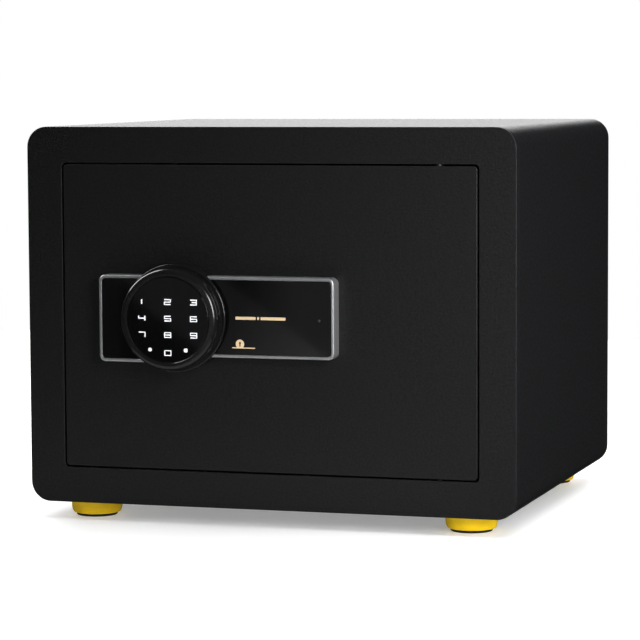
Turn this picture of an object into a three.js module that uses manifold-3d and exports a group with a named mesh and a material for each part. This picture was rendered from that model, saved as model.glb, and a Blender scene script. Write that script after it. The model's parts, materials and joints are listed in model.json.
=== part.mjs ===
// Hotel in-room safe with a concealed-hinge door and a keypad knob that throws two bolts.
// Millimetres, +X to the right, +Y towards the back, +Z up, seen by someone facing the door.
// The origin is the centre of the footprint, on the surface that the feet stand on.

import * as THREE from 'three';
import { mergeVertices } from 'three/addons/utils/BufferGeometryUtils.js';
import Module from 'manifold-3d';

const wasm = await Module();
wasm.setup();

// ---------------------------------------------------------------- driving dimensions

const GAP = 0.3; // air left between pieces that touch
const BODY = { width: 400, height: 300, depth: 340, corner: 16, sheet: 2.5 };
const FOOT = { height: 14, radius: 20.5, inset: 43.5, setback: 32, spigot: 4 };
const KNOB = { x: -71, z: 1, radius: 40, proud: 30.2, face: 33.9, recess: 4.8, wall: 3, turn: 75 };
const DOOR = { width: 338.6, height: 240.6, thick: 5, corner: 3, slit: 1.4 };
const HINGE = { x: 137, y: 9.5, pin: 3, collar: 4, hole: 3.4 };
const PANEL = { left: -135, right: 59, top: 34, low: -34.6, proud: 13, corner: 5, rim: 2.4, chamfer: 1 };
const PANEL_STEP = { rise: 5.3, lap: 30 }; // right of the knob's axis the panel ends higher
const BASE = { radius: 42.5, proud: 16, edge: 0.8 };
const COVER = { left: -160, right: 100, half: 98, back: 45.3, sheet: 1.5, corner: 6 };
const BOLT = { radius: 9, z: 70, y: 25, tip: -165, throw: 16, hole: 9.6 };
const LOCK = { x: 8, z: 1, radius: 9.5, plug: 6, slack: 0.8 };
const SOLENOID = { x: -40, y: 19.8, width: 28, low: -58, high: -24, plunger: 3 };
const CELL = { radius: 7.1, length: 50, pitch: 15.2, count: 4, x: 62, y: 31.2 };
const BUTTON = { x: 0, z: 66, radius: 4, slack: 0.5 };
const PIN_HOLE = { x: 47, z: KNOB.z, radius: 1.1 };
const SPINDLE = { radius: 4.5, hole: 7 };
const CAM = { front: 12, back: 16, radius: 19, pin: 3, swing: KNOB.turn / 2 };
const SPIGOT = { radius: 4.6, hole: 5, length: 8 }; // each bolt's reduced end, held in the carriage
const CARRIAGE = { left: -112, right: -20, sheet: 3, front: 18.3, back: 21.3, low: -5, high: 25 };
const TRAY = { width: 59, height: 65, wall: 1.6, front: 22, flange: 2, corner: 2 };

const FRONT_Y = (KNOB.proud - BODY.depth) / 2; // the door's front face, seen from the origin
const MIDDLE_Z = FOOT.height + BODY.height / 2; // the height of the body's centre
const CLEAR = 1; // how far a hole's shape reaches beyond the wall it passes through

const CORNER_STEPS = 2; // a rounded corner gets twice this many facets
const COARSE = 12; // facets round a small turned piece
const MEDIUM = 20; // facets round a foot, a bolt or a lock
const FINE = 32; // facets round the knob

// ---------------------------------------------------------------- materials

function finish(color, roughness, metalness) {
  return new THREE.MeshStandardMaterial({ color, roughness, metalness });
}

const POWDER_BLACK = finish(0x232529, 0.55, 0.1);
const GLOSS_BLACK = finish(0x08090a, 0.12, 0.0);
const SATIN_BLACK = finish(0x101112, 0.3, 0.0);
const SATIN_SILVER = finish(0xb4b6b8, 0.3, 0.9);
const BRIGHT_STEEL = finish(0xc2c4c6, 0.25, 1.0);
const ZINC_STEEL = finish(0x9fa3a6, 0.4, 0.9);
const BRASS = finish(0xb9974a, 0.3, 1.0);
const YELLOW_PLASTIC = finish(0xcaa50e, 0.4, 0.0);
const RUBBER = finish(0x17181a, 0.85, 0.0);
const CARPET = finish(0x2c2d31, 0.95, 0.0);
const DARK_PLASTIC = finish(0x1c1d1f, 0.5, 0.0);
const BOARD_GREEN = finish(0x1f5a36, 0.5, 0.1);
const RED_PLASTIC = finish(0xa8201a, 0.4, 0.0);
const CELL_SLEEVE = finish(0x3d4d66, 0.35, 0.4);
const COIL_WRAP = finish(0x7a3f22, 0.45, 0.4);

// ---------------------------------------------------------------- shape helpers

const AXIS_X = new THREE.Vector3(1, 0, 0);
const AXIS_Y = new THREE.Vector3(0, 1, 0);
const AXIS_Z = new THREE.Vector3(0, 0, 1);
const OUTLINE_XZ = new THREE.Matrix4().makeBasis(AXIS_X, AXIS_Z, AXIS_Y.clone().negate());
const OUTLINE_YZ = new THREE.Matrix4().makeBasis(AXIS_Y, AXIS_Z, AXIS_X);

function extrude(shape, depth) {
  return new THREE.ExtrudeGeometry(shape, { depth, bevelEnabled: false, curveSegments: CORNER_STEPS });
}

// An outline drawn in X and Z, filling the depth from front to back.
function slab(shape, front, back) {
  return extrude(shape, back - front).applyMatrix4(OUTLINE_XZ).translate(0, back, 0);
}

// An outline drawn in Y and Z, filling the width from left to right.
function rail(shape, left, right) {
  return extrude(shape, right - left).applyMatrix4(OUTLINE_YZ).translate(left, 0, 0);
}

// An outline drawn in X and Y, filling the height from low to high.
function layer(shape, low, high) {
  return extrude(shape, high - low).translate(0, 0, low);
}

function block([left, right], [front, back], [low, high]) {
  const box = new THREE.BoxGeometry(right - left, back - front, high - low);
  return box.translate((left + right) / 2, (front + back) / 2, (low + high) / 2);
}

function roundedRect(width, height, radius, x = 0, y = 0) {
  const right = x + width / 2 - radius;
  const left = x - width / 2 + radius;
  const top = y + height / 2 - radius;
  const bottom = y - height / 2 + radius;
  const shape = new THREE.Shape();
  shape.absarc(right, bottom, radius, -Math.PI / 2, 0);
  shape.absarc(right, top, radius, 0, Math.PI / 2);
  shape.absarc(left, top, radius, Math.PI / 2, Math.PI);
  shape.absarc(left, bottom, radius, Math.PI, 1.5 * Math.PI);
  shape.closePath();
  return shape;
}

function polygon(points) {
  return new THREE.Shape(points.map(([x, y]) => new THREE.Vector2(x, y)));
}

function circlePoints(x, y, radius, facets) {
  const angles = Array.from({ length: facets }, (_, i) => (2 * Math.PI * i) / facets);
  return angles.map((a) => new THREE.Vector2(x + radius * Math.cos(a), y + radius * Math.sin(a)));
}

function disc(x, y, radius, facets = COARSE) {
  return new THREE.Shape(circlePoints(x, y, radius, facets));
}

function pierce(shape, x, y, radius, facets = COARSE) {
  shape.holes.push(new THREE.Path(circlePoints(x, y, radius, facets)));
  return shape;
}

// Turned pieces: the profile lists [radius, place along the axis], from the low end to the high end.
function turnedY(profile, facets = MEDIUM) {
  return new THREE.LatheGeometry(profile.map(([r, h]) => new THREE.Vector2(r, h)), facets);
}

function turnedZ(profile, facets = MEDIUM) {
  return turnedY(profile, facets).rotateX(Math.PI / 2);
}

function turnedX(profile, facets = MEDIUM) {
  return turnedY(profile, facets).rotateZ(-Math.PI / 2);
}

function rod(radius, from, to) {
  return [[0, from], [radius, from], [radius, to], [0, to]];
}

function mirrored(points, axis) {
  return points.map((point) => point.map((value, i) => (i === axis ? -value : value)));
}

// ---------------------------------------------------------------- cutting and joining

function toSolid(geometry) {
  const bare = geometry.clone();
  bare.deleteAttribute('normal');
  bare.deleteAttribute('uv');
  const merged = mergeVertices(bare);
  const corners = [];
  for (let i = 0; i < merged.index.count; i += 3) {
    const [a, b, c] = [0, 1, 2].map((k) => merged.index.getX(i + k));
    if (a !== b && b !== c && c !== a) corners.push(a, b, c);
  }
  const vertProperties = new Float32Array(merged.attributes.position.array);
  const triVerts = new Uint32Array(corners);
  return new wasm.Manifold(new wasm.Mesh({ numProp: 3, vertProperties, triVerts }));
}

function toGeometry(solid) {
  const { vertProperties, triVerts } = solid.getMesh();
  const geometry = new THREE.BufferGeometry();
  geometry.setAttribute('position', new THREE.BufferAttribute(vertProperties, 3));
  geometry.setIndex(new THREE.BufferAttribute(triVerts, 1));
  return geometry;
}

function cut(geometry, ...tools) {
  return toGeometry(tools.reduce((solid, tool) => solid.subtract(toSolid(tool)), toSolid(geometry)));
}

function join(geometry, ...others) {
  return toGeometry(others.reduce((solid, other) => solid.add(toSolid(other)), toSolid(geometry)));
}

function overlap(geometry, other) {
  return toGeometry(toSolid(geometry).intersect(toSolid(other)));
}

// ---------------------------------------------------------------- assembly

// Everything is drawn from the centre of the door's front face: Y is the depth behind that face.
const safe = new THREE.Group();
safe.position.set(0, FRONT_Y, MIDDLE_Z);

function add(name, geometry, material, x = 0, y = 0, z = 0) {
  const mesh = new THREE.Mesh(geometry, material);
  mesh.name = name;
  mesh.position.set(x, y, z);
  safe.add(mesh);
}

const SIDES = [['upper', 1], ['lower', -1]];
const halfHeight = BODY.height / 2;
const halfDoor = DOOR.height / 2;
const doorBack = DOOR.thick + GAP;
const doorway = { width: DOOR.width + 2 * DOOR.slit, height: DOOR.height + 2 * DOOR.slit };

// ---------------------------------------------------------------- cabinet

function addFrontFrame() {
  const outline = roundedRect(BODY.width, BODY.height, BODY.corner);
  outline.holes.push(roundedRect(doorway.width, doorway.height, DOOR.corner + DOOR.slit / 2));
  add('front_frame', slab(outline, 0, DOOR.thick), POWDER_BLACK);
}

function footPlaces() {
  const x = BODY.width / 2 - FOOT.inset;
  const back = BODY.depth - FOOT.setback;
  return [
    ['front_left', -x, FOOT.setback],
    ['front_right', x, FOOT.setback],
    ['back_left', -x, back],
    ['back_right', x, back],
  ];
}

// The wrap is one folded sheet: both sides, the top and the floor.
function addBodyWrap() {
  const anchor = { x: 90, y: BODY.depth / 2, radius: 5 };
  const inner = { width: BODY.width - 2 * BODY.sheet, height: BODY.height - 2 * BODY.sheet };
  const outline = roundedRect(BODY.width, BODY.height, BODY.corner);
  outline.holes.push(roundedRect(inner.width, inner.height, BODY.corner - BODY.sheet));
  const floorHole = (x, y, radius) => {
    return layer(disc(x, y, radius), -halfHeight - CLEAR, -halfHeight + BODY.sheet + CLEAR);
  };
  const footHoles = footPlaces().map(([, x, y]) => floorHole(x, y, FOOT.spigot + GAP));
  const anchorHoles = [-anchor.x, anchor.x].map((x) => floorHole(x, anchor.y, anchor.radius));
  const tube = slab(outline, DOOR.thick + GAP, BODY.depth);
  add('body_wrap', cut(tube, ...footHoles, ...anchorHoles), POWDER_BLACK);
}

function addBackPanel() {
  const thick = 3;
  const anchor = { x: 100, z: 60, radius: 5 };
  const inset = 2 * (BODY.sheet + GAP);
  const corner = BODY.corner - BODY.sheet - GAP;
  const outline = roundedRect(BODY.width - inset, BODY.height - inset, corner);
  for (const x of [-anchor.x, anchor.x]) pierce(outline, x, anchor.z, anchor.radius);
  add('back_panel', slab(outline, BODY.depth - thick, BODY.depth), POWDER_BLACK);
}

// A folded channel behind the frame's left strip, with a hole for each bolt.
function addStrikeJamb() {
  const { sheet, depth, height, setback } = { sheet: 2, depth: 45, height: 110, setback: 1.5 };
  const face = -doorway.width / 2 - setback;
  const wall = -BODY.width / 2 + BODY.sheet + GAP;
  const fold = polygon([
    [face, doorBack], [face, depth], [wall, depth], [wall, depth - sheet],
    [face - sheet, depth - sheet], [face - sheet, doorBack],
  ]);
  const bar = layer(fold, -height, height);
  const holes = SIDES.map(([, side]) => {
    return rail(disc(BOLT.y, side * BOLT.z, BOLT.hole, MEDIUM), face - 2 * sheet, face + sheet);
  });
  add('strike_jamb', cut(bar, ...holes), POWDER_BLACK);
}

// Stepped stops behind the door's left corners, each with a rubber buffer that the door shuts on.
function addDoorStops() {
  const span = [-158, -122];
  const buffer = { thick: 2.4, inset: 5, low: 113, high: 119, corner: 2 };
  const tab = { front: doorBack + buffer.thick + GAP, back: 11.5, low: 112, high: 141, overlap: 3 };
  const foot = halfDoor + DOOR.slit + tab.overlap;
  const step = [
    [doorBack, tab.high], [doorBack, foot], [tab.front, foot],
    [tab.front, tab.low], [tab.back, tab.low], [tab.back, tab.high],
  ];
  for (const [name, side] of SIDES) {
    const outline = side > 0 ? step : mirrored(step, 1);
    add(`door_stop_${name}`, rail(polygon(outline), ...span), POWDER_BLACK);
    const pad = roundedRect(
      span[1] - span[0] - buffer.inset, buffer.high - buffer.low, buffer.corner,
      (span[0] + span[1]) / 2, (side * (buffer.low + buffer.high)) / 2,
    );
    add(`stop_buffer_${name}`, slab(pad, doorBack, doorBack + buffer.thick), RUBBER);
  }
}

// The cabinet's half of each hinge: a lug behind the frame that the door's pin turns in.
function addHingeLugs() {
  const lug = { width: 26, back: 22, near: 124, far: 144, corner: 2 };
  const depth = lug.back - doorBack;
  for (const [name, side] of SIDES) {
    const outline = roundedRect(lug.width, depth, lug.corner, HINGE.x, doorBack + depth / 2);
    pierce(outline, HINGE.x, HINGE.y, HINGE.hole, MEDIUM);
    const low = side > 0 ? lug.near : -lug.far;
    add(`hinge_lug_${name}`, layer(outline, low, low + lug.far - lug.near), POWDER_BLACK);
  }
}

function addFloorMat() {
  const mat = { width: 362, front: 26, back: 334, thick: 3.5, corner: 8 };
  const floor = -halfHeight + BODY.sheet + GAP;
  const outline = roundedRect(
    mat.width, mat.back - mat.front, mat.corner, 0, (mat.front + mat.back) / 2,
  );
  add('floor_mat', layer(outline, floor, floor + mat.thick), CARPET);
}

// Each foot is a push-in plastic moulding with a rubber pad let into its underside.
function addFeet() {
  const top = -halfHeight - GAP;
  const bottom = -halfHeight - FOOT.height;
  const pad = { radius: 16.6, high: bottom + 4.2, edge: 1 };
  const rim = { radius: pad.radius + GAP, low: bottom + 2.4, high: pad.high + GAP };
  const belly = { top: top - 5, inward: 2.4, steps: 4 };
  const spigotTop = -halfHeight + BODY.sheet - GAP;
  const curve = Array.from({ length: belly.steps }, (_, i) => {
    const angle = (((i + 1) / belly.steps) * Math.PI) / 2;
    const inward = belly.inward * (1 - Math.cos(angle));
    return [FOOT.radius - inward, belly.top + (rim.low - belly.top) * Math.sin(angle)];
  });
  const moulding = [
    [0, rim.high], [rim.radius, rim.high], [rim.radius, rim.low], ...curve.reverse(),
    [FOOT.radius, belly.top], [FOOT.radius, top], [FOOT.spigot, top],
    [FOOT.spigot, spigotTop], [0, spigotTop],
  ];
  const sole = [
    [0, bottom], [pad.radius - pad.edge, bottom], [pad.radius, bottom + pad.edge],
    [pad.radius, pad.high], [0, pad.high],
  ];
  for (const [name, x, y] of footPlaces()) {
    add(`foot_${name}`, turnedZ(moulding), YELLOW_PLASTIC, x, y);
    add(`foot_pad_${name}`, turnedZ(sole), RUBBER, x, y);
  }
}

// ---------------------------------------------------------------- door

function coverScrewPlaces() {
  const inset = { left: 40, right: 20, above: 8 };
  const x = [COVER.left + inset.left, COVER.right - inset.right];
  const z = COVER.half + inset.above;
  return x.flatMap((place) => [[place, z], [place, -z]]);
}

function addDoorPlate() {
  const thread = { radius: 2.3, depth: 3.8 };
  const outline = roundedRect(DOOR.width, DOOR.height, DOOR.corner);
  pierce(outline, KNOB.x, KNOB.z, SPINDLE.hole, MEDIUM);
  pierce(outline, LOCK.x, LOCK.z, LOCK.radius + GAP, MEDIUM);
  const threads = coverScrewPlaces().map(([x, z]) => {
    return slab(disc(x, z, thread.radius), DOOR.thick - thread.depth, DOOR.thick + CLEAR);
  });
  add('door_plate', cut(slab(outline, 0, DOOR.thick), ...threads), POWDER_BLACK);
}

// The door's half of each hinge: an arm on the door's back and a pin that stands out of it.
function addHingeArms() {
  const arm = { left: 112, right: 150, back: 20, near: 107, far: 118.5, corner: 2 };
  const pin = { near: arm.near + 1, collar: arm.far + GAP, shoulder: 123.7, far: 141, nose: 1 };
  const width = arm.right - arm.left;
  const depth = arm.back - doorBack;
  for (const [name, side] of SIDES) {
    const middle = (arm.left + arm.right) / 2;
    const outline = roundedRect(width, depth, arm.corner, middle, doorBack + depth / 2);
    pierce(outline, HINGE.x, HINGE.y, HINGE.hole, MEDIUM);
    const low = side > 0 ? arm.near : -arm.far;
    add(`hinge_arm_${name}`, layer(outline, low, low + arm.far - arm.near), POWDER_BLACK);
    const shaft = [
      [0, pin.near], [HINGE.pin, pin.near], [HINGE.pin, pin.collar], [HINGE.collar, pin.collar],
      [HINGE.collar, pin.shoulder], [HINGE.pin, pin.shoulder], [HINGE.pin, pin.far - pin.nose],
      [HINGE.pin - pin.nose, pin.far], [0, pin.far],
    ];
    const profile = side > 0 ? shaft : mirrored(shaft, 1).reverse();
    add(`hinge_pin_${name}`, turnedZ(profile), BRIGHT_STEEL, HINGE.x, HINGE.y);
  }
}

// An angle bracket that each bolt slides through.
function addBoltGuides() {
  const guide = { left: -152, right: -130, sheet: 3, back: 40, half: 16 };
  const fold = polygon([
    [guide.left, doorBack], [guide.right, doorBack], [guide.right, doorBack + guide.sheet],
    [guide.left + guide.sheet, doorBack + guide.sheet], [guide.left + guide.sheet, guide.back],
    [guide.left, guide.back],
  ]);
  for (const [name, side] of SIDES) {
    const z = side * BOLT.z;
    const bracket = layer(fold, z - guide.half, z + guide.half);
    const reach = [guide.left - CLEAR, guide.left + guide.sheet + CLEAR];
    const hole = rail(disc(BOLT.y, z, BOLT.hole, MEDIUM), ...reach);
    add(`bolt_guide_${name}`, cut(bracket, hole), POWDER_BLACK);
  }
}

function trayRect(grow) {
  const corner = TRAY.corner + Math.max(grow, 0);
  return roundedRect(TRAY.width + 2 * grow, TRAY.height + 2 * grow, corner, CELL.x, 0);
}

// Ears that stand out above and below the cover, each with a screw's hole.
function coverEars() {
  const ear = { width: 18, reach: 14, corner: 3, hole: 2.4 };
  return coverScrewPlaces().map(([x, z]) => {
    const root = Math.sign(z) * (COVER.half - COVER.sheet / 2);
    const tip = Math.sign(z) * (COVER.half + ear.reach);
    const outline = roundedRect(ear.width, Math.abs(tip - root), ear.corner, x, (root + tip) / 2);
    return slab(pierce(outline, x, z, ear.hole), doorBack, doorBack + COVER.sheet);
  });
}

// Hooked rails above and below the battery lid.
function lidRails() {
  const hook = { inner: TRAY.height / 2 + 2.6, wide: 2.2, lip: 2.2, high: 4.3, thick: 1.2, root: 0.5 };
  const end = { left: CELL.x - TRAY.width / 2 - 2, right: CELL.x + TRAY.width / 2 + 4 };
  const [root, top] = [COVER.back - hook.root, COVER.back + hook.high];
  const section = [
    [root, hook.inner], [root, hook.inner + hook.wide], [top, hook.inner + hook.wide],
    [top, hook.inner - hook.lip], [top - hook.thick, hook.inner - hook.lip],
    [top - hook.thick, hook.inner],
  ];
  return SIDES.map(([, side]) => {
    return rail(polygon(side > 0 ? section : mirrored(section, 1)), end.left, end.right);
  });
}

// A pressed steel box over the works, with ears for its screws and rails for the battery lid.
function addMechanismCover() {
  const { left, right, half, back, sheet, corner } = COVER;
  const middle = (left + right) / 2;
  const shell = roundedRect(right - left, 2 * half, corner, middle, 0);
  const room = roundedRect(right - left - 2 * sheet, 2 * (half - sheet), corner - sheet, middle, 0);
  const wall = [back - sheet - CLEAR, back + CLEAR];
  const side = [left - CLEAR, left + sheet + CLEAR];
  const boltHoles = SIDES.map(([, up]) => {
    return rail(disc(BOLT.y, up * BOLT.z, BOLT.hole + GAP, MEDIUM), ...side);
  });
  const holes = [
    slab(room, doorBack - CLEAR, back - sheet),
    slab(trayRect(-TRAY.wall), ...wall),
    slab(disc(BUTTON.x, BUTTON.z, BUTTON.radius + BUTTON.slack), ...wall),
    ...boltHoles,
  ];
  const whole = join(slab(shell, doorBack, back), ...coverEars(), ...lidRails());
  add('mechanism_cover', cut(whole, ...holes), POWDER_BLACK);
}

function addCoverScrews() {
  const tip = DOOR.thick - 3.4;
  const seat = doorBack + COVER.sheet + GAP;
  const screw = { shank: 2, head: 3.8, rim: seat + 1.4, crown: 2.6, top: seat + 2.4 };
  const profile = [
    [0, tip], [screw.shank, tip], [screw.shank, seat], [screw.head, seat],
    [screw.head, screw.rim], [screw.crown, screw.top], [0, screw.top],
  ];
  coverScrewPlaces().forEach(([x, z], i) => {
    add(`cover_screw_${i + 1}`, turnedY(profile, COARSE), BRIGHT_STEEL, x, 0, z);
  });
}

// ---------------------------------------------------------------- control panel on the door

const pocket = { front: -PANEL.proud, back: -PANEL.proud + 2.6, corner: PANEL.corner - 1.6 };
const fascia = { front: pocket.front + 0.2, back: pocket.back - GAP, corner: PANEL.corner - 1.9 };

// The panel's two plates, which overlap behind the knob and share their upper edge.
const panelPlates = [
  { left: PANEL.left, right: KNOB.x, low: PANEL.low },
  { left: KNOB.x - PANEL_STEP.lap, right: PANEL.right, low: PANEL.low + PANEL_STEP.rise },
];

function plateSlab({ left, right, low }, inset, corner, front, back) {
  const width = right - left - 2 * inset;
  const height = PANEL.top - low - 2 * inset;
  return slab(roundedRect(width, height, corner, (left + right) / 2, (low + PANEL.top) / 2), front, back);
}

// Both plates drawn inwards by the inset, as one solid.
function panelSlab(inset, corner, front, back) {
  return join(...panelPlates.map((plate) => plateSlab(plate, inset, corner, front, back)));
}

// A silver tray with a shallow pocket in front for the black fascia and a hollow behind.
function addPanelHousing() {
  const rear = { wall: 4, corner: 2, front: pocket.back + 2.4 };
  const plates = panelPlates.map((plate) => {
    const body = plateSlab(plate, 0, PANEL.corner, -PANEL.proud, -GAP);
    return overlap(body, chamferedBlock(plate));
  });
  const lockHole = disc(LOCK.x, LOCK.z, LOCK.radius + LOCK.slack, MEDIUM);
  const housing = cut(
    join(...plates),
    panelSlab(PANEL.rim, pocket.corner, pocket.front - CLEAR, pocket.back),
    panelSlab(rear.wall, rear.corner, rear.front, CLEAR),
    slab(disc(KNOB.x, KNOB.z, SPINDLE.hole, MEDIUM), pocket.front, 0),
    slab(lockHole, pocket.front, 0),
  );
  add('panel_housing', housing, SATIN_SILVER);
}

// A block as large as the plate, with its four front edges chamfered.
function chamferedBlock({ left, right, low }) {
  const { top, proud, chamfer } = PANEL;
  const profileYZ = polygon([
    [-proud, low + chamfer], [-proud + chamfer, low], [0, low],
    [0, top], [-proud + chamfer, top], [-proud, top - chamfer],
  ]);
  const profileXY = polygon([
    [left + chamfer, -proud], [right - chamfer, -proud], [right, -proud + chamfer],
    [right, 0], [left, 0], [left, -proud + chamfer],
  ]);
  return overlap(
    rail(profileYZ, left - CLEAR, right + CLEAR),
    layer(profileXY, low - CLEAR, top + CLEAR),
  );
}

// The fascia fills the pocket: a fixed part up to the knob's base, and a cover right of it.
function addFascia() {
  const whole = panelSlab(PANEL.rim + GAP, fascia.corner, fascia.front, fascia.back);
  const seam = BASE.radius + 2 * GAP;
  const reach = [pocket.front - CLEAR, 0];
  const beyond = BODY.width;
  const round = (radius) => slab(disc(KNOB.x, KNOB.z, radius, FINE), ...reach);
  const leftHalf = block([-beyond, KNOB.x], reach, [-beyond, beyond]);
  const rightHalf = block([KNOB.x, beyond], reach, [-beyond, beyond]);
  const spindleHole = slab(disc(KNOB.x, KNOB.z, SPINDLE.hole, MEDIUM), ...reach);
  const fixedZone = join(round(seam - GAP), leftHalf);
  add('fascia_left', cut(overlap(whole, fixedZone), spindleHole), GLOSS_BLACK);
  const releaseHole = slab(disc(PIN_HOLE.x, PIN_HOLE.z, PIN_HOLE.radius), ...reach);
  add('key_cover', cut(overlap(whole, rightHalf), round(seam), releaseHole), GLOSS_BLACK);
}

// The knob's base is a disc over the panel with a skirt down to the door above and below it.
function addKnobBase() {
  const { radius, proud, edge } = BASE;
  const ring = [
    [SPINDLE.hole, -proud], [radius - edge, -proud], [radius, -proud + edge],
    [radius, -GAP], [SPINDLE.hole, -GAP], [SPINDLE.hole, -proud],
  ];
  const depths = [-PANEL.proud - GAP, CLEAR];
  const panelSpace = panelPlates.map(({ left, right, low }) => block(
    [left - GAP - KNOB.x, right + GAP - KNOB.x], depths, [low - GAP - KNOB.z, PANEL.top + GAP - KNOB.z],
  ));
  add('knob_base', cut(turnedY(ring, FINE), ...panelSpace), SATIN_BLACK, KNOB.x, 0, KNOB.z);
}

// ---------------------------------------------------------------- knob, turned by hand

function addKnob() {
  const rear = -BASE.proud - GAP;
  const front = -KNOB.proud;
  const recess = front + KNOB.recess;
  const floor = recess + KNOB.wall;
  const rim = { round: 4.2, steps: 3, lip: 0.5, straight: 2 };
  const hub = { radius: 9, bore: 4.8 };
  const bevel = Array.from({ length: rim.steps + 1 }, (_, i) => {
    const angle = (i / rim.steps) * (Math.PI / 2);
    const inward = rim.round * (1 - Math.cos(angle));
    return [KNOB.radius - inward, front + rim.round * (1 - Math.sin(angle))];
  });
  const shell = [
    [hub.bore, floor], [hub.bore, recess], [KNOB.face, recess], [KNOB.face, front],
    ...bevel.reverse(), [KNOB.radius, rear - rim.straight], [KNOB.radius - rim.lip, rear],
    [KNOB.radius - KNOB.wall, rear], [KNOB.radius - KNOB.wall, floor],
    [hub.radius, floor], [hub.radius, rear], [hub.bore, rear], [hub.bore, floor],
  ];
  add('knob_shell', turnedY(shell, FINE), SATIN_BLACK, KNOB.x, 0, KNOB.z);
  const glass = { sunk: 0.2, back: front + 2.6, boardInset: 1 };
  const lens = rod(KNOB.face - GAP, front + glass.sunk, glass.back);
  add('keypad_lens', turnedY(lens, FINE), GLOSS_BLACK, KNOB.x, 0, KNOB.z);
  const board = rod(KNOB.face - glass.boardInset, glass.back + GAP, recess - GAP);
  add('keypad_board', turnedY(board, FINE), BOARD_GREEN, KNOB.x, 0, KNOB.z);
}

// The crank pin's place at rest, as seen from the knob's axis; the bolts' throw sets its radius.
const crankAngle = THREE.MathUtils.degToRad(CAM.swing);
const crankRadius = BOLT.throw / (2 * Math.sin(crankAngle));
const crank = { x: crankRadius * Math.sin(crankAngle), z: crankRadius * Math.cos(crankAngle) };

// The spindle carries the knob's turn through the door to a crank disc behind it.
function addSpindle() {
  const front = -KNOB.proud + KNOB.recess + 2 * GAP;
  add('spindle', turnedY(rod(SPINDLE.radius, front, CAM.back)), BRIGHT_STEEL, KNOB.x, 0, KNOB.z);
  const wheel = pierce(disc(0, 0, CAM.radius, MEDIUM), 0, 0, SPINDLE.radius + GAP);
  const pin = slab(disc(crank.x, crank.z, CAM.pin), CAM.back - CLEAR, CARRIAGE.back + 2);
  const cam = join(slab(wheel, CAM.front, CAM.back), pin);
  add('bolt_cam', cam, ZINC_STEEL, KNOB.x, 0, KNOB.z);
}

// ---------------------------------------------------------------- bolts

// The crank pin rises and falls in this slot while it moves the carriage sideways.
function crankSlot() {
  const slack = 0.45;
  const overrun = 0.5;
  const width = 2 * (CAM.pin + slack);
  const low = KNOB.z + crank.z - CAM.pin - slack - overrun;
  const high = KNOB.z + crankRadius + CAM.pin + slack + overrun;
  const corner = width / 2 - 0.1;
  const outline = roundedRect(width, high - low, corner, KNOB.x + crank.x, (low + high) / 2);
  return slab(outline, CARRIAGE.front - CLEAR, CARRIAGE.back + CLEAR);
}

// A notch in the arm's lower edge that the solenoid's plunger drops out of or rises into.
function plungerNotch(x) {
  const { half, deep } = { half: 4, deep: 6 };
  return block(
    [x - half, x + half],
    [CARRIAGE.front - CLEAR, CARRIAGE.back + CLEAR],
    [CARRIAGE.low - deep, CARRIAGE.low + deep],
  );
}

// A cross bar that both bolts are shouldered on, and an arm with a slot for the crank pin.
function addBoltCarriage() {
  const { left, right, sheet, front, back, low, high } = CARRIAGE;
  const bar = { width: 22, height: 2 * (BOLT.z + 15), corner: 2, y: BOLT.y - 2 };
  const crossBar = rail(roundedRect(bar.width, bar.height, bar.corner, bar.y, 0), left, left + sheet);
  const arm = block([left + CLEAR, right], [front, back], [low, high]);
  const spigots = SIDES.map(([, side]) => {
    return rail(disc(BOLT.y, side * BOLT.z, SPIGOT.hole), left - CLEAR, left + sheet + CLEAR);
  });
  const notches = [plungerNotch(SOLENOID.x), plungerNotch(SOLENOID.x + BOLT.throw)];
  add('bolt_carriage', cut(join(crossBar, arm), crankSlot(), ...spigots, ...notches), ZINC_STEEL);
}

function addBolts() {
  const nose = 1.5;
  const shoulder = CARRIAGE.left - GAP;
  const end = shoulder + SPIGOT.length;
  const profile = [
    [0, BOLT.tip], [BOLT.radius - nose, BOLT.tip], [BOLT.radius, BOLT.tip + nose],
    [BOLT.radius, shoulder], [SPIGOT.radius, shoulder], [SPIGOT.radius, end], [0, end],
  ];
  for (const [name, side] of SIDES) {
    add(`bolt_${name}`, turnedX(profile), BRIGHT_STEEL, 0, BOLT.y, side * BOLT.z);
  }
}

// ---------------------------------------------------------------- solenoid latch

// A helical spring of round wire, drawn about the Z axis from low to high.
class Helix extends THREE.Curve {
  constructor(radius, low, high, turns) {
    super();
    Object.assign(this, { radius, low, high, turns });
  }

  getPoint(t, target = new THREE.Vector3()) {
    const angle = 2 * Math.PI * this.turns * t;
    const height = this.low + (this.high - this.low) * t;
    return target.set(this.radius * Math.cos(angle), this.radius * Math.sin(angle), height);
  }
}

function tube(path, radius, steps, facets = 8) {
  const section = new THREE.Shape(circlePoints(0, 0, radius, facets));
  return new THREE.ExtrudeGeometry(section, { steps, extrudePath: path });
}

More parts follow.
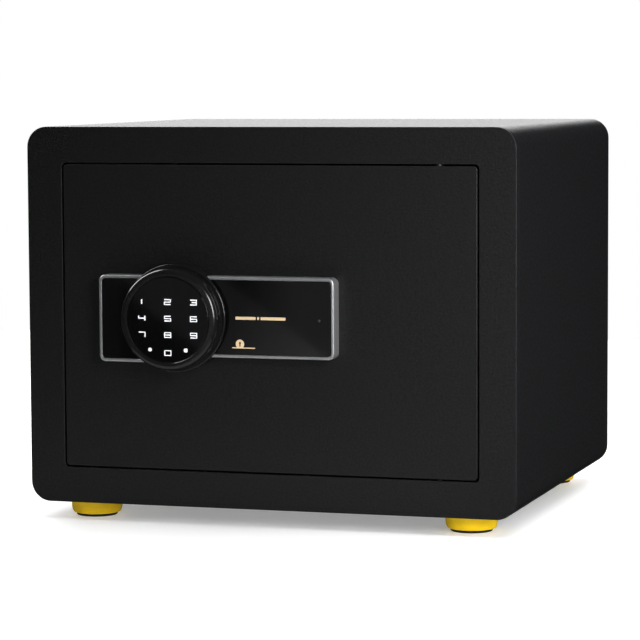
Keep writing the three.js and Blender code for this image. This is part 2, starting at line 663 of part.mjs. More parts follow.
function addSolenoid() {
  const { x, y, width, low, high, plunger } = SOLENOID;
  const { corner, slack, sunk } = { corner: 2, slack: 0.4, sunk: 8 };
  const outline = roundedRect(width, 2 * (y - doorBack), corner, x, y);
  add('solenoid_body', layer(pierce(outline, x, y, plunger + slack), low, high), COIL_WRAP);
  const collar = { low: high + 8, high: high + 10, radius: 6 };
  const tip = { shoulder: CARRIAGE.low - 1.6, top: CARRIAGE.low - 0.6, radius: plunger - 1 };
  const stem = [
    [0, low + sunk], [plunger, low + sunk], [plunger, collar.low], [collar.radius, collar.low],
    [collar.radius, collar.high], [plunger, collar.high], [plunger, tip.shoulder],
    [tip.radius, tip.top], [0, tip.top],
  ];
  add('solenoid_plunger', turnedZ(stem, COARSE), BRIGHT_STEEL, x, y);
  const spring = { wire: 0.4, radius: plunger + 1.4, turns: 4, steps: 48, facets: 6 };
  const ends = [high + GAP + spring.wire, collar.low - GAP - spring.wire];
  const coil = new Helix(spring.radius, ...ends, spring.turns);
  add('solenoid_spring', tube(coil, spring.wire, spring.steps, spring.facets), BRIGHT_STEEL, x, y);
}

// ---------------------------------------------------------------- override lock

function addOverrideLock() {
  const face = -9;
  const end = 12;
  const bore = LOCK.plug + GAP;
  const flange = { radius: 12, front: -2.3, back: -GAP };
  const body = [
    [bore, face], [LOCK.radius, face], [LOCK.radius, flange.front], [flange.radius, flange.front],
    [flange.radius, flange.back], [LOCK.radius, flange.back], [LOCK.radius, end],
    [bore, end], [bore, face],
  ];
  add('lock_body', turnedY(body), ZINC_STEEL, LOCK.x, 0, LOCK.z);
  const tail = { radius: 3, end: 17 };
  const plug = [
    [0, face], [LOCK.plug, face], [LOCK.plug, end + GAP], [tail.radius, end + GAP],
    [tail.radius, tail.end], [0, tail.end],
  ];
  const keyway = { half: 1, high: 4, depth: 7 };
  const slot = block(
    [-keyway.half, keyway.half], [face - CLEAR, face + keyway.depth], [-keyway.high, keyway.high],
  );
  add('lock_plug', cut(turnedY(plug), slot), BRASS, LOCK.x, 0, LOCK.z);
  const lever = { length: 30, width: 12, corner: 5.5, x: -9, thick: 2.4 };
  const outline = roundedRect(lever.length, lever.width, lever.corner, lever.x, 0);
  pierce(outline, 0, 0, tail.radius + GAP);
  const front = end + 2 * GAP;
  add('lock_lever', slab(outline, front, front + lever.thick), ZINC_STEEL, LOCK.x, 0, LOCK.z);
}

// ---------------------------------------------------------------- electronics and batteries

// The board stands on four posts, with a processor, a relay and a buzzer on its front.
function addControlBoard() {
  const board = { left: -80, right: 20, low: 42, high: 90, front: 30, back: 31.6 };
  const post = { inset: 6, radius: 3 };
  const devices = [
    { x: [-62, -46], z: [58, 74], proud: 2 },
    { x: [-36, -24], z: [50, 62], proud: 5 },
    { x: [2, 10], z: [58, 74], proud: 3 },
  ];
  const root = board.front + CLEAR;
  const sheet = block([board.left, board.right], [board.front, board.back], [board.low, board.high]);
  const bodies = devices.map(({ x, z, proud }) => block(x, [board.front - proud, root], z));
  const heights = [board.low + post.inset, board.high - post.inset];
  const posts = [board.left + post.inset, board.right - post.inset].flatMap((x) => {
    return heights.map((z) => slab(disc(x, z, post.radius), doorBack, root));
  });
  add('control_board', join(sheet, ...posts, ...bodies), BOARD_GREEN);
}

function addBatteries() {
  const mouth = COVER.back - COVER.sheet - GAP;
  const flange = slab(trayRect(TRAY.flange), mouth - TRAY.wall, mouth);
  const room = slab(trayRect(-TRAY.wall), TRAY.front + TRAY.wall, mouth + CLEAR);
  const tray = join(slab(trayRect(0), TRAY.front, mouth), flange);
  add('battery_tray', cut(tray, room), DARK_PLASTIC);
  const half = CELL.length / 2;
  const button = { radius: 2.7, high: 1.5 };
  const cell = [
    [0, -half], [CELL.radius, -half], [CELL.radius, half - button.high],
    [button.radius, half - button.high], [button.radius, half], [0, half],
  ];
  for (let i = 0; i < CELL.count; i += 1) {
    const profile = i % 2 === 0 ? cell : mirrored(cell, 1).reverse();
    const z = (i - (CELL.count - 1) / 2) * CELL.pitch;
    add(`battery_cell_${i + 1}`, turnedX(profile, COARSE), CELL_SLEEVE, CELL.x, CELL.y, z);
  }
}

// The lid runs in the cover's rails; three ridges give a thumb something to push on.
function addBatteryLid() {
  const lid = { front: COVER.back + GAP, back: COVER.back + 2.7, wider: 1, taller: 4.4 };
  const ridge = { count: 3, first: CELL.x + 14, pitch: 4, width: 1.6, half: 12, root: 0.5, high: 0.9 };
  const outline = roundedRect(
    TRAY.width + lid.wider, TRAY.height + lid.taller, TRAY.corner, CELL.x, 0,
  );
  const ridges = Array.from({ length: ridge.count }, (_, i) => {
    const x = ridge.first + ridge.pitch * i;
    const depth = [lid.back - ridge.root, lid.back + ridge.high];
    return block([x, x + ridge.width], depth, [-ridge.half, ridge.half]);
  });
  add('battery_lid', join(slab(outline, lid.front, lid.back), ...ridges), DARK_PLASTIC);
}

function addResetButton() {
  const { x, z, radius } = BUTTON;
  const flange = { radius: radius + 1.5, front: 35, back: 37 };
  const tip = { end: COVER.back + 2, edge: 1 };
  const profile = [
    [0, flange.front], [flange.radius, flange.front], [flange.radius, flange.back],
    [radius, flange.back], [radius, tip.end - tip.edge], [radius - tip.edge, tip.end], [0, tip.end],
  ];
  add('reset_button', turnedY(profile, COARSE), RED_PLASTIC, x, 0, z);
}

// Two leads inside the cover, each from its device to the control board.
function addLeads() {
  const lead = { radius: 1.2, steps: 24 };
  const routes = {
    battery_lead: [[44, 27, 33.2], [44, 27, 37], [38, 26.5, 45], [24, 26.5, 56], [12, 27.5, 62]],
    solenoid_lead: [
      [-25.4, 9, -40], [-22, 9, -39.5], [-17, 8.4, -28], [-16, 8.2, 0],
      [-17, 12, 30], [-18, 24, 40], [-18, 28, 47],
    ],
  };
  for (const [name, route] of Object.entries(routes)) {
    const path = new THREE.CatmullRomCurve3(route.map((point) => new THREE.Vector3(...point)));
    add(name, tube(path, lead.radius, lead.steps), RUBBER);
  }
}

// ---------------------------------------------------------------- build

addFrontFrame();
addBodyWrap();
addBackPanel();
addStrikeJamb();
addDoorStops();
addHingeLugs();
addFloorMat();
addFeet();
addDoorPlate();
addHingeArms();
addBoltGuides();
addMechanismCover();
addCoverScrews();
addPanelHousing();
addFascia();
addKnobBase();
addKnob();
addSpindle();
addBoltCarriage();
addBolts();
addSolenoid();
addOverrideLock();
addControlBoard();
addBatteries();
addBatteryLid();
addResetButton();
addLeads();

export default safe;
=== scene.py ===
"""The looks of an in-room safe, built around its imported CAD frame.

Everything is in metres in the frame's own axes: +X right, +Y towards the back, +Z up.
Each piece is a mesh made here, rides on a CAD body and stands for the CAD nodes it names.
"""

import json
import math

import bmesh
import bpy
from mathutils import Matrix, Vector


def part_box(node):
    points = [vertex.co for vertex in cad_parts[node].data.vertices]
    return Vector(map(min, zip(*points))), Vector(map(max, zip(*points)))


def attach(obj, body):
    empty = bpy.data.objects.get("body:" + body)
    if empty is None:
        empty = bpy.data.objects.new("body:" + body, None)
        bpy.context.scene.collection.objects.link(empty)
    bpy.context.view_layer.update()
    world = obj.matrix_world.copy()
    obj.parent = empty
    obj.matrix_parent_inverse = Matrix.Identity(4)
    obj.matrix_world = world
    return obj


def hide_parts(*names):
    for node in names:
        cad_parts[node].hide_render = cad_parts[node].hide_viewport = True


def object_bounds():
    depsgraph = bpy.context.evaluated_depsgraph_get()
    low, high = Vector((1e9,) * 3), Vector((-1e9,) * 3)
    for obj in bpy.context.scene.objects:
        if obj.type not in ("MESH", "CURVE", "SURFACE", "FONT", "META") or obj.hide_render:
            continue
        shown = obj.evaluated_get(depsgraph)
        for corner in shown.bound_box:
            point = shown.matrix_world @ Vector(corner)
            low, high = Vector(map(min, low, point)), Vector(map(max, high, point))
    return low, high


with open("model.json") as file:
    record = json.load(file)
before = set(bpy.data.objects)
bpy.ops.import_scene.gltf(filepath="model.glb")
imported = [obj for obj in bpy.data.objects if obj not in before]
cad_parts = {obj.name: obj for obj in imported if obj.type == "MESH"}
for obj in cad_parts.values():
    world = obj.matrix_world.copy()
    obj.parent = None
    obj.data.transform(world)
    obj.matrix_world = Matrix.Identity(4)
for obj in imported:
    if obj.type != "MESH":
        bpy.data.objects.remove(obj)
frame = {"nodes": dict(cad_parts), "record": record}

cad_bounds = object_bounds()
MM = 0.001
BODY_OF = {node: body for body, nodes in frame["record"]["behaviour"]["bodies"].items() for node in nodes}
SLOT_OF = {row["node"]: row["material_slot"] for row in frame["record"]["subparts"]}


# ---------------------------------------------------------------- places taken from the frame

class Box:
    """A CAD node's box, with its middle and size."""

    def __init__(self, node):
        self.low, self.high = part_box(node)
        self.middle = (self.low + self.high) / 2
        self.size = self.high - self.low


door = Box("door_plate")
cabinet = Box("front_frame")
wrap = Box("body_wrap")
panel = Box("panel_housing")
knob = Box("knob_shell")
lens = Box("keypad_lens")
FRONT = door.low.y  # the plane of the door's and the frame's front faces
SHEET = 2.5 * MM  # the cabinet's sheet
CORNER = 16 * MM  # the cabinet's outer corners
SLIT = 1.4 * MM  # the air round the door
GAP = 0.3 * MM  # the air kept between neighbouring pieces
CLEAR = MM  # how far a cutting shape reaches beyond what it cuts
SHARPEST = 0.02 * MM  # the smallest corner radius an outline may shrink to
HOLD = 0.6 * MM  # the width of the strip beside an edge that its wear can reach
RUBBED = 14  # degrees between two faces from which their edge is rubbed
CREASE = 32  # degrees between two faces from which their edge is drawn sharp
WEAR_SHARE = 0.6  # how far a fully rubbed edge turns to its worn colour
SPINDLE_HOLE = 7 * MM  # its radius
FINE = 96  # facets round the knob and the feet
SMALL = 40  # facets round small turned pieces


# ---------------------------------------------------------------- material nodes

class Paint:
    """A Principled material with procedural nodes that vary its colour, roughness and relief."""

    def __init__(self, name, color, roughness, metallic=0.0, **sockets):
        self.material = bpy.data.materials.new(name)
        self.material.use_nodes = True
        self.material.diffuse_color = (*color, 1.0)
        self.tree = self.material.node_tree
        self.shader = self.tree.nodes["Principled BSDF"]
        self.color = self.tint = color
        self.roughness = roughness
        self.shader.inputs["Base Color"].default_value = (*color, 1.0)
        self.shader.inputs["Roughness"].default_value = roughness
        self.shader.inputs["Metallic"].default_value = metallic
        for socket, value in sockets.items():
            self.shader.inputs[socket.replace("_", " ")].default_value = value
        self.place = self.tree.nodes.new("ShaderNodeTexCoord").outputs["Object"]
        self.normal = None

    def link(self, start, end):
        self.tree.links.new(start, end)

    def stretched(self, scale):
        """Object coordinates scaled by axis, for brushed or drawn surfaces."""
        mapping = self.tree.nodes.new("ShaderNodeMapping")
        mapping.inputs["Scale"].default_value = scale
        self.link(self.place, mapping.inputs["Vector"])
        return mapping.outputs["Vector"]

    def along_x(self):
        """The place along the piece's own X."""
        split = self.tree.nodes.new("ShaderNodeSeparateXYZ")
        self.link(self.place, split.inputs["Vector"])
        return split.outputs["X"]

    def noise(self, scale, detail=3.0, roughness=0.5, place=None):
        node = self.tree.nodes.new("ShaderNodeTexNoise")
        node.inputs["Scale"].default_value = scale
        node.inputs["Detail"].default_value = detail
        node.inputs["Roughness"].default_value = roughness
        self.link(place or self.place, node.inputs["Vector"])
        return node.outputs["Fac"]

    def cells(self, scale, place=None):
        node = self.tree.nodes.new("ShaderNodeTexVoronoi")
        node.inputs["Scale"].default_value = scale
        self.link(place or self.place, node.inputs["Vector"])
        return node.outputs["Distance"]

    def remap(self, value, low, high, to_low, to_high):
        node = self.tree.nodes.new("ShaderNodeMapRange")
        ends = {"From Min": low, "From Max": high, "To Min": to_low, "To Max": to_high}
        for socket, number in ends.items():
            node.inputs[socket].default_value = number
        self.link(value, node.inputs["Value"])
        return node.outputs["Result"]

    def mix_color(self, fac, first, second):
        node = self.tree.nodes.new("ShaderNodeMix")
        node.data_type = "RGBA"
        self.link(fac, node.inputs["Factor"])
        for socket, color in ((node.inputs["A"], first), (node.inputs["B"], second)):
            if isinstance(color, bpy.types.NodeSocket):
                self.link(color, socket)
            else:
                socket.default_value = (*color, 1.0)
        return node.outputs["Result"]

    def mottle(self, scale, amount):
        """The colour drifts lighter and darker by the given share."""
        fac = self.remap(self.noise(scale), 0.3, 0.7, 0.0, 1.0)
        dark = [c * (1 - amount) for c in self.color]
        light = [min(1.0, c * (1 + amount)) for c in self.color]
        self.tint = self.mix_color(fac, dark, light)
        self.link(self.tint, self.shader.inputs["Base Color"])
        return self

    def worn(self, color):
        """Convex edges take a rubbed colour in patches; the mesh's wear attribute says where they are."""
        edges = self.tree.nodes.new("ShaderNodeAttribute")
        edges.attribute_name = "wear"
        patches = self.remap(self.noise(90), 0.35, 0.7, 0.15 * WEAR_SHARE, WEAR_SHARE)
        fac = self.tree.nodes.new("ShaderNodeMath")
        fac.operation = "MULTIPLY"
        self.link(edges.outputs["Fac"], fac.inputs[0])
        self.link(patches, fac.inputs[1])
        first = self.tint
        self.tint = self.mix_color(fac.outputs["Value"], first, color)
        self.link(self.tint, self.shader.inputs["Base Color"])
        return self

    def rough(self, scale, spread, place=None):
        """Roughness drifts by the given spread to either side."""
        low, high = max(self.roughness - spread, 0.02), min(self.roughness + spread, 1.0)
        fac = self.remap(self.noise(scale, 4.0, place=place), 0.3, 0.7, low, high)
        self.link(fac, self.shader.inputs["Roughness"])
        return self

    def relief(self, height, depth, strength=1.0):
        """Adds a bump of the given depth in metres on top of any earlier one."""
        node = self.tree.nodes.new("ShaderNodeBump")
        node.inputs["Strength"].default_value = strength
        node.inputs["Distance"].default_value = depth
        self.link(height, node.inputs["Height"])
        if self.normal is not None:
            self.link(self.normal, node.inputs["Normal"])
        self.normal = node.outputs["Normal"]
        self.link(self.normal, self.shader.inputs["Normal"])
        return self


def powder_coat(name, color, roughness):
    """Fine-textured powder coat: a slightly speckled black with orange peel and rubbed edges."""
    paint = Paint(name, color, roughness, Specular_IOR_Level=0.3)
    speckle = paint.remap(paint.noise(620, 2.0), 0.35, 0.65, 0.0, 1.0)
    paint.tint = paint.mix_color(speckle, [c * 0.7 for c in color], [c * 1.35 for c in color])
    paint.worn([c * 2.2 for c in color])
    paint.rough(420, 0.06)
    paint.relief(paint.noise(900, 2.0), 0.00028, 0.55)
    return paint.relief(paint.noise(170, 3.0), 0.0004, 0.4).material


def gloss_plastic(name, color, roughness, spread=0.02):
    paint = Paint(name, color, roughness, Coat_Weight=0.4, Coat_Roughness=0.03)
    paint.mottle(18, 0.15).rough(60, spread)
    return paint.relief(paint.noise(45, 2.0), 0.0001, 0.05).material


def moulded_plastic(name, color, roughness, specular=0.5):
    paint = Paint(name, color, roughness, Specular_IOR_Level=specular)
    paint.mottle(60, 0.08).worn([min(1.0, c * 1.35 + 0.01) for c in color]).rough(300, 0.07)
    return paint.relief(paint.cells(1500), 0.00006, 0.35).material


def rubber(name, color):
    paint = Paint(name, color, 0.78, Specular_IOR_Level=0.3)
    paint.mottle(140, 0.2).rough(500, 0.1)
    return paint.relief(paint.noise(900), 0.00015, 0.5).material


def plated_metal(name, color, roughness, grain=(1, 1, 1)):
    """Satin or turned metal, whose fine lines run along the axis with the smallest grain."""
    paint = Paint(name, color, roughness, 1.0)
    place = paint.stretched(grain)
    paint.mottle(80, 0.07).rough(700, 0.08, place)
    return paint.relief(paint.noise(1400, 2.0, place=place), 0.00003, 0.35).material


def silver_coat(name, color, roughness):
    """Satin silver finish on a moulding: fine metal flakes under a thin lacquer."""
    paint = Paint(name, color, roughness, 0.78, Coat_Weight=0.2, Coat_Roughness=0.12)
    flakes = paint.remap(paint.cells(2200), 0.0, 0.8, 0.0, 1.0)
    paint.tint = paint.mix_color(flakes, [c * 1.12 for c in color], [c * 0.92 for c in color])
    paint.worn([min(1.0, c * 1.25) for c in color])
    return paint.rough(260, 0.04).relief(paint.noise(700, 2.0), 0.00002, 0.3).material


def zinc_sheet(name):
    """Zinc-plated steel with a faint spangle and a slightly yellow passivation."""
    paint = Paint(name, (0.52, 0.53, 0.53), 0.36, 1.0)
    spangle = paint.remap(paint.cells(260), 0.0, 0.9, 0.0, 1.0)
    paint.tint = paint.mix_color(spangle, (0.46, 0.46, 0.44), (0.60, 0.61, 0.62))
    paint.link(paint.tint, paint.shader.inputs["Base Color"])
    paint.worn((0.75, 0.75, 0.74)).rough(380, 0.1)
    return paint.relief(paint.noise(600), 0.00005, 0.4).material


def felt(name, color):
    """Needle-felt carpet: a fibrous pile with flecks of a lighter fibre."""
    paint = Paint(name, color, 0.95, Sheen_Weight=0.35, Sheen_Roughness=0.5, Specular_IOR_Level=0.15)
    fibres = paint.noise(1600, 4.0, 0.7, paint.stretched((1, 0.35, 1)))
    flecks = paint.remap(paint.cells(900), 0.0, 0.5, 0.0, 1.0)
    dark = paint.mix_color(fibres, [c * 0.4 for c in color], [c * 1.9 for c in color])
    paint.tint = paint.mix_color(flecks, [c * 2.6 for c in color], dark)
    paint.link(paint.tint, paint.shader.inputs["Base Color"])
    return paint.relief(fibres, 0.0009, 0.8).relief(paint.noise(120), 0.0006, 0.4).material


def circuit_board(name):
    """Green solder mask with copper tracks showing faintly through it."""
    paint = Paint(name, (0.015, 0.11, 0.045), 0.35, Coat_Weight=0.5, Coat_Roughness=0.15)
    tracks = paint.remap(paint.cells(330, paint.stretched((1, 1, 2.4))), 0.12, 0.2, 0.0, 1.0)
    paint.tint = paint.mix_color(tracks, (0.04, 0.22, 0.09), (0.012, 0.09, 0.035))
    paint.link(paint.tint, paint.shader.inputs["Base Color"])
    return paint.rough(300, 0.08).relief(tracks, 0.00005, 0.5).material


def wound_coil(name):
    """Brown taped winding with the wire's turns showing as rings."""
    paint = Paint(name, (0.16, 0.06, 0.025), 0.4, Coat_Weight=0.3, Coat_Roughness=0.2)
    turns = paint.noise(900, 1.0, place=paint.stretched((0.02, 0.02, 1)))
    paint.mottle(120, 0.2).rough(300, 0.08)
    return paint.relief(turns, 0.0002, 0.6).material


def printed_sleeve(name):
    """A battery's shrink sleeve: dark blue, with a gold band over the part nearest the safe's right."""
    paint = Paint(name, (0.03, 0.06, 0.15), 0.3, Coat_Weight=0.6, Coat_Roughness=0.1)
    middle = Box("battery_cell_1").middle.x
    band = paint.remap(paint.along_x(), middle + 8.5 * MM, middle + 9 * MM, 0.0, 1.0)
    paint.tint = paint.mix_color(band, (0.03, 0.06, 0.15), (0.62, 0.42, 0.14))
    paint.link(paint.tint, paint.shader.inputs["Base Color"])
    return paint.rough(200, 0.06).relief(paint.noise(300), 0.00004, 0.3).material


def ink_with_painted_glow(name, color, glow):
    """Ink on a gloss face: an even colour with a faint painted glow, so that it reads on black."""
    paint = Paint(name, color, 0.4, 0.15, Emission_Color=(*color, 1), Emission_Strength=glow)
    return paint.mottle(700, 0.05).rough(500, 0.06).relief(paint.noise(1800), 0.00001, 0.3).material


MATERIALS = {
    "powder_black": powder_coat("powder_black", (0.0078, 0.008, 0.0086), 0.42),
    "satin_black": gloss_plastic("satin_black", (0.006, 0.0062, 0.0066), 0.2, 0.04),
    "gloss_black": gloss_plastic("gloss_black", (0.0012, 0.0012, 0.0014), 0.06),
    "satin_silver": silver_coat("satin_silver", (0.53, 0.54, 0.55), 0.32),
    "bright_steel": plated_metal("bright_steel", (0.66, 0.66, 0.67), 0.2, (0.1, 1, 1)),
    "dull_steel": plated_metal("dull_steel", (0.12, 0.12, 0.125), 0.45),
    "zinc_steel": zinc_sheet("zinc_steel"),
    "brass": plated_metal("brass", (0.74, 0.54, 0.22), 0.25),
    # Painted glow: the gold print glows faintly on its own.
    "gold_ink_painted_glow": ink_with_painted_glow("gold_ink_painted_glow", (0.72, 0.55, 0.33), 0.24),
    "yellow_plastic": moulded_plastic("yellow_plastic", (0.86, 0.56, 0.004), 0.36, 0.2),
    "rubber": rubber("rubber", (0.016, 0.016, 0.017)),
    "carpet": felt("carpet", (0.032, 0.033, 0.037)),
    "dark_plastic": moulded_plastic("dark_plastic", (0.018, 0.018, 0.019), 0.5),
    "red_plastic": moulded_plastic("red_plastic", (0.45, 0.015, 0.012), 0.3),
    "board_green": circuit_board("board_green"),
    "cell_sleeve": printed_sleeve("cell_sleeve"),
    "coil_wrap": wound_coil("coil_wrap"),
    # Painted glow: the white keypad print glows faintly on its own.
    "white_ink_painted_glow": ink_with_painted_glow("white_ink_painted_glow", (0.92, 0.93, 0.94), 0.45),
}


# ---------------------------------------------------------------- mesh building

def rounded_rect(width, height, radius, x=0.0, z=0.0, steps=10):
    """An outline as a function of how far it is drawn inwards; every outline has the same point count."""

    def outline(inset):
        half_w, half_h = width / 2 - inset, height / 2 - inset
        r = max(radius - inset, SHARPEST)
        points = []
        for turn, (sx, sz) in enumerate(((1, -1), (1, 1), (-1, 1), (-1, -1))):
            for i in range(steps + 1):
                angle = math.pi / 2 * (turn - 1 + i / steps)
                across = x + sx * (half_w - r) + r * math.cos(angle)
                points.append((across, z + sz * (half_h - r) + r * math.sin(angle)))
        return points

    return outline


def circle(radius, x=0.0, z=0.0, facets=FINE):
    def outline(inset):
        r = radius - inset
        angles = [2 * math.pi * i / facets for i in range(facets)]
        return [(x + r * math.cos(a), z + r * math.sin(a)) for a in angles]

    return outline


def facing_front(u, v, depth):
    return (u, depth, v)


def standing(u, v, height):
    return (u, v, height)


def lying(u, v, along):
    return (along, u, v)


def loft(name, outline, profile, axis=facing_front, closed=False):
    """Draws the outline through a profile of (inset, place along the axis) steps.
    The ends are capped, or closed onto each other. A step may name its own outline as a third value."""
    rings = []
    for step in profile:
        own = step[2] if len(step) > 2 else outline
        rings.append([axis(u, v, step[1]) for u, v in own(step[0])])
    count = len(rings[0])
    verts = [point for ring in rings for point in ring]
    faces = []
    last = len(rings) if closed else len(rings) - 1
    for r in range(last):
        here, there = r * count, (r + 1) % len(rings) * count
        for i in range(count):
            j = (i + 1) % count
            faces.append((here + i, here + j, there + j, there + i))
    if not closed:
        faces.append(tuple(range(count))[::-1])
        faces.append(tuple(range(len(verts) - count, len(verts))))
    return mesh_object(name, verts, faces)


def mesh_object(name, verts, faces):
    mesh = bpy.data.meshes.new(name)
    mesh.from_pydata(verts, [], faces)
    tidy = bmesh.new()
    tidy.from_mesh(mesh)
    bmesh.ops.remove_doubles(tidy, verts=tidy.verts, dist=1e-7)
    bmesh.ops.recalc_face_normals(tidy, faces=tidy.faces)
    tidy.to_mesh(mesh)
    tidy.free()
    piece = bpy.data.objects.new(name, mesh)
    bpy.context.scene.collection.objects.link(piece)
    return piece


def eased(front, back, ease, steps=3):
    """The profile of a solid slab whose front and back rims are rounded."""
    near = [(ease - ease * math.sin(a), front + ease - ease * math.cos(a)) for a in quarter(steps)]
    far = [(ease - ease * math.cos(a), back - ease + ease * math.sin(a)) for a in quarter(steps)]
    return near + far


def quarter(steps):
    """The angles of a quarter turn."""
    return [math.pi / 2 * i / steps for i in range(steps + 1)]


def rounded_rim(front, ease, steps):
    """The part of a profile that rounds a rim, from the side onto the front."""
    return [(ease * (1 - math.cos(a)), front + ease * (1 - math.sin(a))) for a in quarter(steps)]


def face_circle(box, facets=FINE):
    """The outline of a round node that faces the front."""
    return circle(box.size.x / 2, box.middle.x, box.middle.z, facets)


def plan_circle(box, facets=FINE):
    """The outline of a round node that stands upright."""
    return circle(box.size.x / 2, box.middle.x, box.middle.y, facets)


def bake_modifiers(piece):
    bpy.context.view_layer.update()
    graph = bpy.context.evaluated_depsgraph_get()
    mesh = bpy.data.meshes.new_from_object(piece.evaluated_get(graph), depsgraph=graph)
    piece.modifiers.clear()
    piece.data = mesh


def combine(piece, others, operation):
    for other in others:
        modifier = piece.modifiers.new("shape", "BOOLEAN")
        modifier.operation = operation
        modifier.solver = "EXACT"
        modifier.object = other
        bake_modifiers(piece)
        bpy.data.objects.remove(other)
    return piece


def cut(piece, *tools):
    return combine(piece, tools, "DIFFERENCE")


def add(piece, *others):
    return combine(piece, others, "UNION")


def wide_areas(mesh):
    """Lists of neighbouring faces that lie in one plane, for the planes that hold a wide face."""
    seen, areas = set(), []
    for start in mesh.faces:
        if start.index in seen or start.calc_area() < 2 * MM * start.calc_perimeter():
            continue
        area, waiting = [], [start]
        seen.add(start.index)
        while waiting:
            face = waiting.pop()
            area.append(face)
            near = [other for edge in face.edges for other in edge.link_faces if other.index not in seen]
            for other in near:
                if other.normal.dot(face.normal) > 0.99999 and other.index not in seen:
                    seen.add(other.index)
                    waiting.append(other)
        areas.append(area)
    return areas


def shade(piece):
    """Smooth shading with creases kept, and flat faces kept flat by area-weighted normals.
    Wide areas get a narrow border, so that wear at an edge stays at the edge."""
    mesh = bmesh.new()
    mesh.from_mesh(piece.data)
    for area in wide_areas(mesh):
        bmesh.ops.inset_region(
            mesh, faces=area, thickness=HOLD / 2, use_boundary=True, use_even_offset=True,
        )
    for face in mesh.faces:
        face.smooth = True
    wear = mesh.verts.layers.float.new("wear")
    for edge in mesh.edges:
        edge.smooth = len(edge.link_faces) == 2 and edge.calc_face_angle(0) < math.radians(CREASE)
        if edge.is_manifold and edge.calc_face_angle_signed(0) > math.radians(RUBBED):
            for vert in edge.verts:
                vert[wear] = 1.0
    mesh.to_mesh(piece.data)
    mesh.free()
    weighted = piece.modifiers.new("flat", "WEIGHTED_NORMAL")
    weighted.keep_sharp = True
    bake_modifiers(piece)


def dress(piece, *nodes, slot=None, material=None, body=None):
    """Gives the piece its material, chosen by its slot, and its body, and hides the CAD nodes it stands
    for.
    """
    shade(piece)
    slot = slot or SLOT_OF[nodes[0]]
    piece.data.materials.clear()
    piece.data.materials.append(MATERIALS[material or slot])
    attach(piece, body or BODY_OF[nodes[0]])
    if nodes:
        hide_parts(*nodes)


def tool_bar(outline, low, high, axis=facing_front):
    """A straight bar of the given outline, for cutting or clipping another piece."""
    return loft("tool", outline, [(0, low), (0, high)], axis)


# ---------------------------------------------------------------- cabinet

SHEET_EDGE = 0.5 * MM  # the rounding of a sheet's edge
DOORWAY_CORNER = 3.7 * MM
FOOT_HOLE = 4.3 * MM  # its radius
ANCHOR = {"radius": 5 * MM, "floor_x": 90 * MM, "back_x": 100 * MM, "back_rise": 60 * MM}


def shell_profile(front, back, inner, ease):
    """A ring-shaped profile: the outside from back to front, then the inside from front to back."""
    bend = rounded_rim(0, ease, 3)
    near = ease + HOLD
    front_out = [(0, front + near), *[(b, front + r) for b, r in bend], (near, front)]
    back_out = [(near, back), *[(b, back - r) for b, r in bend[::-1]], (0, back - near)]
    front_in = [(-inset, place, inner) for inset, place in front_out[::-1]]
    back_in = [(-inset, place, inner) for inset, place in back_out[::-1]]
    return front_out + front_in + back_in + back_out


def cabinet_pieces():
    outer = rounded_rect(cabinet.size.x, cabinet.size.z, CORNER, cabinet.middle.x, cabinet.middle.z)
    doorway = rounded_rect(
        door.size.x + 2 * SLIT, door.size.z + 2 * SLIT, DOORWAY_CORNER, door.middle.x, door.middle.z,
    )
    profile = shell_profile(cabinet.low.y, cabinet.high.y, doorway, SHEET_EDGE)
    dress(loft("frame_plate", outer, profile, closed=True), "front_frame")
    inner = rounded_rect(
        wrap.size.x - 2 * SHEET, wrap.size.z - 2 * SHEET, CORNER - SHEET, wrap.middle.x, wrap.middle.z,
    )
    profile = shell_profile(wrap.low.y, wrap.high.y, inner, SHEET_EDGE)
    sheet = loft("wrap_sheet", outer, profile, closed=True)
    floor = (wrap.low.z - CLEAR, wrap.low.z + SHEET + CLEAR)
    middle = (cabinet.low.y + wrap.high.y) / 2
    holes = [(foot.middle.x, foot.middle.y, FOOT_HOLE) for foot in map(Box, FEET)]
    holes += [(side * ANCHOR["floor_x"], middle, ANCHOR["radius"]) for side in (-1, 1)]
    tools = [tool_bar(circle(r, x, y, SMALL), *floor, standing) for x, y, r in holes]
    dress(cut(sheet, *tools), "body_wrap")
    back = Box("back_panel")
    rear = rounded_rect(
        back.size.x, back.size.z, CORNER - SHEET - GAP, back.middle.x, back.middle.z,
    )
    plate = loft("rear_plate", rear, eased(back.low.y, back.high.y, SHEET_EDGE))
    height = back.middle.z + ANCHOR["back_rise"]
    anchors = [circle(ANCHOR["radius"], side * ANCHOR["back_x"], height, SMALL) for side in (-1, 1)]
    tools = [tool_bar(anchor, back.low.y - CLEAR, back.high.y + CLEAR) for anchor in anchors]
    dress(cut(plate, *tools), "back_panel")


FEET = [f"foot_{end}_{side}" for end in ("front", "back") for side in ("left", "right")]


def foot_profile(box):
    """A yellow moulding: a straight shoulder, a belly that curves in, and a recess for the pad."""
    low, high = box.low.z, box.high.z
    flange = wrap.low.z - GAP
    shoulder = flange - 5.0 * MM
    radius = box.size.x / 2
    inward = 2.4 * MM
    belly = [(inward * (1 - math.cos(a)), shoulder + (low - shoulder) * math.sin(a)) for a in quarter(8)]
    lip, edge, dish = 3.3 * MM, 0.5 * MM, 0.3 * MM
    recess = radius - 16.9 * MM
    stud = radius - 4 * MM
    return [
        (stud, high), (stud, flange), (edge, flange), (0, flange - edge), *belly,
        (lip, low), (recess, low + dish), (recess, low + 2.1 * MM),
    ]


def sole_profile(low, high):
    """A rubber pad with a rounded rim and three round grooves underneath."""
    edge, land, depth, width = 1.2 * MM, 0.2 * MM, 0.6 * MM, MM
    profile = [(0, high), (0, low + edge), *rounded_rim(low, edge, 4)]
    for inset in (2.7 * MM, 5.9 * MM, 9.1 * MM):
        profile += [(inset, low), (inset + land, low + depth)]
        profile += [(inset + 0.8 * MM, low + depth), (inset + width, low)]
    return profile


